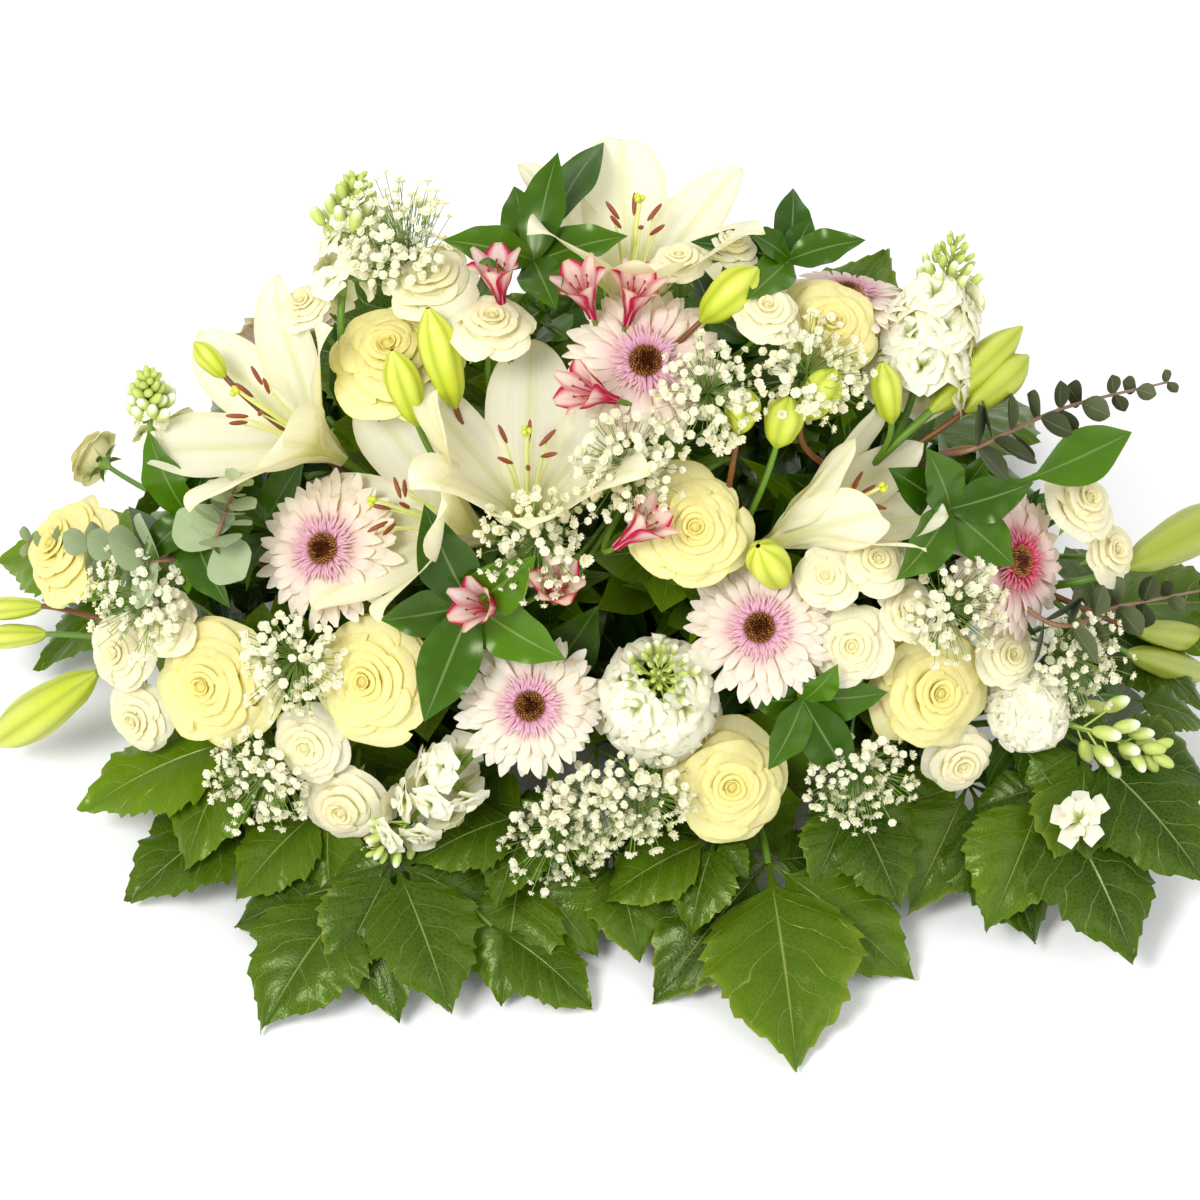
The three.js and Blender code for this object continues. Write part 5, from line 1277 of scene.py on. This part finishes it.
def make_stocks():
    """Spikes of double florets with green buds at the tip, each on a leafy stem."""
    for k, row in enumerate(STOCKS, 1):
        plant, name = Plant(500 + k), f"stock_{k}"
        base, tip, facing = two_ends(row)
        length = np.linalg.norm(tip - base)
        spike = frame_at(base, facing)
        bunched = "at_foot" in row
        stem = grow_stem(plant, name, base + facing * 2, facing, 2.9)
        plant.add(tube(np.linspace(base, tip, 10), np.linspace(2.8, 1.0, 10), 8), SEPAL, STEM, True)
        spike_florets(plant, spike, row, length)
        foot_florets(plant, base + facing * 14, row.get("at_foot", 0))
        leaves_towards(plant, stem, row.get("fill", []), 25)
        if "apart" in row:
            point = on_level(row["apart"], APART_HEIGHT)
            # Its stalk takes the lighter painted-shade green, so that it sinks into the dark between the
            # leaves.
            grow_stalk(plant, stem, point, TOWARD, 0.8, 0.9, PAINTED_SHADE_TINTS[1])
            stock_floret(plant, frame_at(point, TOWARD + 0.5 * UP - 0.3 * RIGHT), 19.0, 0.36)
        spike_buds(plant, spike, row, length, bunched or row["width"] < SLENDER, bunched)
        stem_leaves(plant, stem, count=10, length=70, half=10, span=(0.35, 0.88), finish=WAXY)
        plant.made(f"white_stock_{k}", "stock", name)


# Gypsophila
CLUSTER_FLORETS, CLUSTER_RADIUS = 165, 38.0


def gypsophila_cluster(plant, stem, matrix, count, spread):
    """Tiny double florets in a cloud, each on a thread from the end of its stem: two whorls of petals of a
    few faces."""
    draw = plant.draw
    way = unit(draw.normal(size=(count, 3)) * [1, 1, 0.45])
    away = spread * draw.uniform(0.15, 1.0, count) ** 0.6
    heads = placed(way * away[:, None] + [0, 0, 2], matrix)
    feet = stem[-1] + (stem[-4] - stem[-1]) * draw.uniform(0, 0.8, count)[:, None]
    middle = feet * 0.5 + heads * 0.5 + matrix[:3, 2] * 3
    t = np.linspace(0, 1, 4)[None, :, None]
    lines = feet[:, None] * (1 - t) ** 2 + 2 * middle[:, None] * t * (1 - t) + heads[:, None] * t**2
    corner = np.array([(0.35, 0, 0), (-0.18, 0.3, 0), (-0.18, -0.3, 0)])
    plant.add(lines[:, :, None] + corner[None, None], GYPSO_STALK, STEM, True)
    facing = unit(heads - stem[-4] + draw.normal(size=(count, 3)) * 14)
    across = unit(np.cross(facing, [0.3, 0.2, 0.9]))
    along = np.cross(facing, across)
    scale = draw.uniform(0.75, 1.15, count)[:, None]
    for petals, size, lift in ((6, 3.1, 0.5), (5, 2.3, 1.5)):
        for k in range(petals):
            angle = 2 * math.pi * k / petals + lift
            ahead = across * math.cos(angle) + along * math.sin(angle)
            aside = along * math.cos(angle) - across * math.sin(angle)
            rows = []
            for reach, half, rise in ((0.0, 0.1, 0.0), (0.6, 0.5, 0.35), (1.0, 0.3, 0.3 + 0.3 * lift)):
                centre = heads + (ahead * reach + facing * rise * lift) * size * scale
                wide = aside * half * size * scale
                rows.append(np.stack([centre - wide, centre + wide], 1))
            plant.add(np.stack(rows, 1), GYPSO_WHITE, PETAL)


def make_gypsophila():
    """Clouds of florets, one at each pixel of a stem's row."""
    for k, clusters in enumerate(GYPSOPHILA, 1):
        plant, name = Plant(600 + k), f"gypsophila_{k}"
        stem = None
        for pixel in clusters:
            point = on_dome(pixel, 1.04)
            facing = outward_from(point)
            base = point - facing * 8
            if stem is None:
                stem = line = grow_stem(plant, name, base, facing, 1.5, GYPSO_STALK)
            else:
                line = grow_stalk(plant, stem, base, facing, 1.3, colour=GYPSO_STALK)
            gypsophila_cluster(plant, line, frame_at(point, facing), CLUSTER_FLORETS, CLUSTER_RADIUS)
        plant.made(f"gypsophila_{k}_cloud", "gypsophila", name)


# Eucalyptus
SHOOT_ROWS = 30


def eucalyptus_leaf(plant, foot, way, along, out, size, tints):
    """A round waxy leaf from the shoot the given way, that curls outwards as the square of the distance."""
    v = np.linspace(0, 1, 9)[:, None]
    line = foot + way * (2 * size * v) + out * (v**2 * size * 0.15)
    widths = size * profile([0.06, 0.7, 0.98, 1.0, 0.8, 0.1], 9)
    leaf = blade(line, np.cross(way, along + out * 0.3), widths, 9, cup=0.1, fold=0.06)
    plant.add(leaf, mixed(*tints, plant.draw.uniform(0.0, 0.8)), WAXY)


def make_eucalyptus():
    """Round leaves in pairs along each shoot, every second pair turned a quarter round, and smaller to the
    tip."""
    for k, (shoots, tints) in enumerate(zip(EUCALYPTUS, EUCALYPTUS_TINTS), 1):
        plant, name = Plant(700 + k), f"eucalyptus_{k}"
        paths = [np.array([on_dome(pixel, 1.03) for pixel in shoot]) for shoot in shoots]
        foot = paths[0][0]
        stem = grow_stem(plant, name, foot, outward_from(foot), 2.2, EUCALYPTUS_STEM)
        for i, points in enumerate(paths):
            line = smooth(np.vstack([point_at(stem, 0.8 - 0.12 * i), points]), SHOOT_ROWS)
            plant.add(tube(line, np.linspace(2.2, 0.8, SHOOT_ROWS), 6), EUCALYPTUS_STEM, STEM, True)
            pairs = 9 - 2 * i
            for j in range(pairs):
                index = int(10 + 19 * j / (pairs - 1))
                middle = line[index]
                along = unit(middle - line[index - 2])
                out = outward_from(middle)
                across = unit(np.cross(along, out))
                axis = across if j % 2 == 0 else unit(out * 0.5 + across * 0.5)
                size = EUCALYPTUS_LEAF * (1 - 0.75 * j / pairs) * plant.draw.uniform(0.85, 1.1)
                for side in (-1, 1):
                    way = unit(axis * side + along * 0.35)
                    eucalyptus_leaf(plant, middle, way, along, out, size, tints)
        plant.made(f"eucalyptus_{k}_shoots", "eucalyptus", name)


# Ruscus
LONGEST_RUSCUS_LEAF = 84.0
BESIDE_LILIES = {(2, 0), (4, 1)}  # the sprig and leaf of those that are shortened for a lily petal


def ruscus_leaf(plant, end, outward, tip, width, lift):
    """A glossy oval leaf that ends at the tip. Where its way is longer than the longest leaf, the rest is a
    thin stalk."""
    way = tip - end
    length = np.linalg.norm(way)
    way = way / length
    side = unit(np.cross(way, outward_from(tip)))
    rise = np.cross(side, way)
    start = end - way * 2 + outward * lift
    stalk = max(0.0, 1 - LONGEST_RUSCUS_LEAF / length)
    u, v = grid(24, 9)
    line = start + (tip - start) * v + rise * length * 0.3 * v * (1 - v)
    share = np.clip((v[:, 0] - stalk) / (1 - stalk), 0, 1)
    half = min(width, length * 0.5) / 2
    oval = np.interp(share, v[:, 0], profile(OVAL, 24))
    widths = np.maximum(half * 1.08 * oval, 1.0 * (share < 0.5))
    widths[-1] = 0.05
    phase = plant.draw.uniform(0, 6)
    points = blade(line, side, widths, 9, cup=0.26, fold=-0.1, ripple=half * 0.1, phase=phase)
    # Painted highlight: the leaf is lighter towards its edges and tip, besides its own tone drawn at random.
    tone = plant.draw.uniform(0.0, 0.75) + 0.2 * np.abs(u) * v
    plant.add(points, mixed(*RUSCUS_TINTS, np.clip(tone, 0, 1)), GLOSSY)


def make_ruscus():
    """Pointed glossy leaves that leave the end of a stem for their tips, arched outwards."""
    for k, (end_pixel, width, tips) in enumerate(RUSCUS, 1):
        plant, name = Plant(800 + k), f"ruscus_{k}"
        end = on_dome(end_pixel, 0.98)
        outward = outward_from(end)
        stem = grow_stem(plant, name, end, outward, 2.4)
        for i, pixel in enumerate(tips):
            high = i % 2 == 0
            tip = on_dome(pixel, 1.06 if high else 1.0)
            tip = end + (tip - end) * (0.78 if (k, i) in BESIDE_LILIES else 1.0)
            ruscus_leaf(plant, end, outward, tip, width, 2 if high else -1)
        stem_leaves(
            plant, stem, count=14, length=66, half=15, span=(0.35, 0.94), shape=OVAL,
            finish=GLOSSY, tints=RUSCUS_TINTS,
        )
        plant.made(f"ruscus_{k}_sprig", "ruscus", name)


# Toothed leaves: leaflets that part from one point and lie over each other. A leaflet is its angle from
# the middle one, its length as a share of the leaf's, and how far it dips.
LEAFLETS = [(0, 1, 0), (-46, 0.82, 11), (46, 0.82, 11), (-94, 0.56, 20), (94, 0.56, 20)]
LOWEST_LEAFLET = 2.0  # the least height of a leaflet over the lid
SMALL_PAIR = [(-100, 0.4, 26), (100, 0.4, 26)]
# The half width of a leaflet at shares of its length, both as shares of that length
SHARES = [0, 0.08, 0.14, 0.2, 0.27, 0.34, 0.46, 0.55, 0.61, 0.7, 0.78, 0.83, 0.92, 1]
CUT_EDGE = [0.01, 0.014, 0.03, 0.16, 0.26, 0.31, 0.345, 0.34, 0.27, 0.255, 0.205, 0.14, 0.06, 0]
PLAIN_EDGE = [0.01, 0.014, 0.03, 0.15, 0.25, 0.305, 0.335, 0.325, 0.3, 0.225, 0.165, 0.13, 0.055, 0]


def leaflet(plant, base, tip, row, edge, tone):
    """A grid along the rib and across it. Its half width follows the edge, with teeth that point forwards:
    each grows along the edge and ends at once. It arches between base and tip, is creased between its side
    veins as a cosine that slants forwards, and its edges wave."""
    angle, share, dip = row
    whole = tip - base
    length = np.linalg.norm(whole) * share
    forward = unit(whole)
    side = unit(np.cross(forward, LEVEL_NORMAL))
    normal = np.cross(side, forward)
    forward, side = swung(forward, normal, -angle), swung(side, normal, -angle)
    forward = swung(forward, side, -dip)
    normal = np.cross(side, forward)
    t, s = grid(68, 13)
    draw = plant.draw.uniform(-1, 1, 4)
    teeth = 11 + 2 * draw[0]
    tooth = ((s * teeth + 0.4 * np.sign(t) + 0.25 * np.sin(9 * s + 4 * draw[3])) % 1.0) ** 1.6
    tooth = tooth * step_between(0.2, 0.34, s)
    outer = t**6
    half = np.interp(s[:, 0], SHARES, edge)[:, None]
    aside = t * half * (1 + 0.13 * tooth * outer)
    ahead = s + 0.012 * tooth * outer + 0.03 * draw[0] * t * s
    rise = 0.3 * s * (1 - s) + 0.3 * half * np.abs(t) - 0.32 * half * t * t
    rise = rise + 0.014 * np.cos(2 * math.pi * (6 * s - 1.4 * np.abs(t))) * np.sin(math.pi * s) * np.abs(t)
    rise = rise + 0.04 * t * t * np.sin(7 * s + 3 * draw[1] + 2 * np.sign(t)) * s
    points = side * aside[..., None] + forward * ahead[..., None] + normal * rise[..., None]
    points = base + length * points
    points[..., 2] = np.maximum(points[..., 2], LOWEST_LEAFLET)
    # Painted highlight: the leaflet is lighter towards its edges and tip, besides its own tone and a random
    # lift.
    shade = np.clip(tone + 0.3 * max(0, draw[2]) + 0.25 * np.abs(t) * s, 0, 1)
    colour = mixed(LEAF_DARK, LEAF_LIGHT, shade)
    colour = mixed(colour, LEAF_OLIVE, 0.5 * step_between(0.85, 1.0, np.abs(t)) * s * max(0, draw[3]))
    plant.add(points, colour, LEAF)


def leaflets_of(kind):
    """Five leaflets, of which the lowest two are small on a plain leaf and missing on a hidden one."""
    if kind == "full":
        return LEAFLETS
    return LEAFLETS[:3] if kind == "hidden" else LEAFLETS[:3] + SMALL_PAIR


def make_leaf_branches():
    """Compound leaves round the foot of the spray, the first of a branch on the stem and the others on
    stalks."""
    for k, (leaves, lightest) in enumerate(zip(LEAF_BRANCHES, LEAF_TONES), 1):
        plant, name = Plant(900 + k), f"leaf_branch_{k}"
        stem = None
        for kind, *ends in leaves:
            if kind == "hidden":
                base, tip = np.array(ends, float)
            else:
                base, tip = (on_level(end[:2], end[2]) for end in ends)
            way = unit(tip - base)
            if kind == "loose":
                leaflet(plant, base, tip, LEAFLETS[0], CUT_EDGE, LOOSE_TONE)
                grow_stalk(plant, stem, base, way, 2.2)
                continue
            tone = plant.draw.uniform(0.0, 0.45) * lightest
            for i, row in enumerate(leaflets_of(kind)):
                leaflet(plant, base, tip, row, CUT_EDGE if i == 0 else PLAIN_EDGE, tone)
            if stem is None:
                stem = grow_stem(plant, name, base + way * 2, way, 3.0)
                continue
            stalk = grow_stalk(plant, stem, base + way * 2, way, 2.6)
            if k == REAR_BRANCH:
                stem_leaves(plant, stalk, count=9, length=84, half=25, span=(0.1, 0.9), shape=OVAL)
        stem_leaves(plant, stem, count=18, length=92, half=25, span=(0.3, 0.92), shape=OVAL)
        plant.made(f"toothed_leaves_{k}", "foliage", name)


make_lilies()
make_gerberas()
make_roses()
make_sprays(
    SPRAY_ROSES, 400, "spray_rose", ("white_spray_roses", "spray_rose"),
    depth_of=lambda head: head["width"] * 0.3, head_of=spray_rose_head,
    leaves=dict(count=9, length=52, half=15, span=(0.35, 0.9), shape=OVAL),
)
make_stocks()
make_sprays(
    ALSTROEMERIAS, 450, "alstroemeria", ("alstroemeria_heads", "alstroemeria"),
    depth_of=lambda head: 23, head_of=alstroemeria_head,
    leaves=dict(count=12, length=72, half=11, span=(0.35, 0.9), finish=GLOSSY),
)
make_gypsophila()
make_eucalyptus()
make_ruscus()
make_leaf_branches()

for name, finish in (("tray", tray_finish()), ("foam", foam_finish())):
    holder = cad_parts[name]
    holder.data.materials.clear()
    holder.data.materials.append(finish)


# Floor and light
def make_floor():
    """A flat pale square just under the tray."""
    half, drop = 6.0, -0.0005
    mesh = bpy.data.meshes.new("floor")
    corners = [(x * half, y * half, drop) for x, y in ((-1, -1), (1, -1), (1, 1), (-1, 1))]
    mesh.from_pydata(corners, [], [(0, 1, 2, 3)])
    floor = bpy.data.objects.new("floor", mesh)
    bpy.context.scene.collection.objects.link(floor)
    material, tree, shader = new_material("pale_floor")
    wired(tree, shader, Base_Color=(0.97, 0.97, 0.97, 1), Roughness=0.9)
    mesh.materials.append(material)


def area_light(name, place, aim, size, power):
    """A square soft light that faces the point aimed at."""
    light = bpy.data.lights.new(name, "AREA")
    light.size, light.energy = size, power
    lamp = bpy.data.objects.new(name, light)
    lamp.location = place
    lamp.rotation_mode = "QUATERNION"
    lamp.rotation_quaternion = (Vector(aim) - Vector(place)).to_track_quat("-Z", "Y")
    bpy.context.scene.collection.objects.link(lamp)


make_floor()
area_light("key_light", (-1.2, -1.9, 2.6), aim=(0, 0, 0.15), size=1.0, power=78)
area_light("fill_light", (1.8, -1.8, 1.8), aim=(0, 0, 0.15), size=2.0, power=22)
area_light("back_light", (0.4, 2.2, 2.2), aim=(0, 0, 0.2), size=1.8, power=20)
world = bpy.data.worlds.new("studio")
world.use_nodes = True
wired(world.node_tree, world.node_tree.nodes["Background"], Color=(1, 1, 1, 1), Strength=0.82)
bpy.context.scene.world = world
bpy.context.scene.view_settings.view_transform = "Standard"
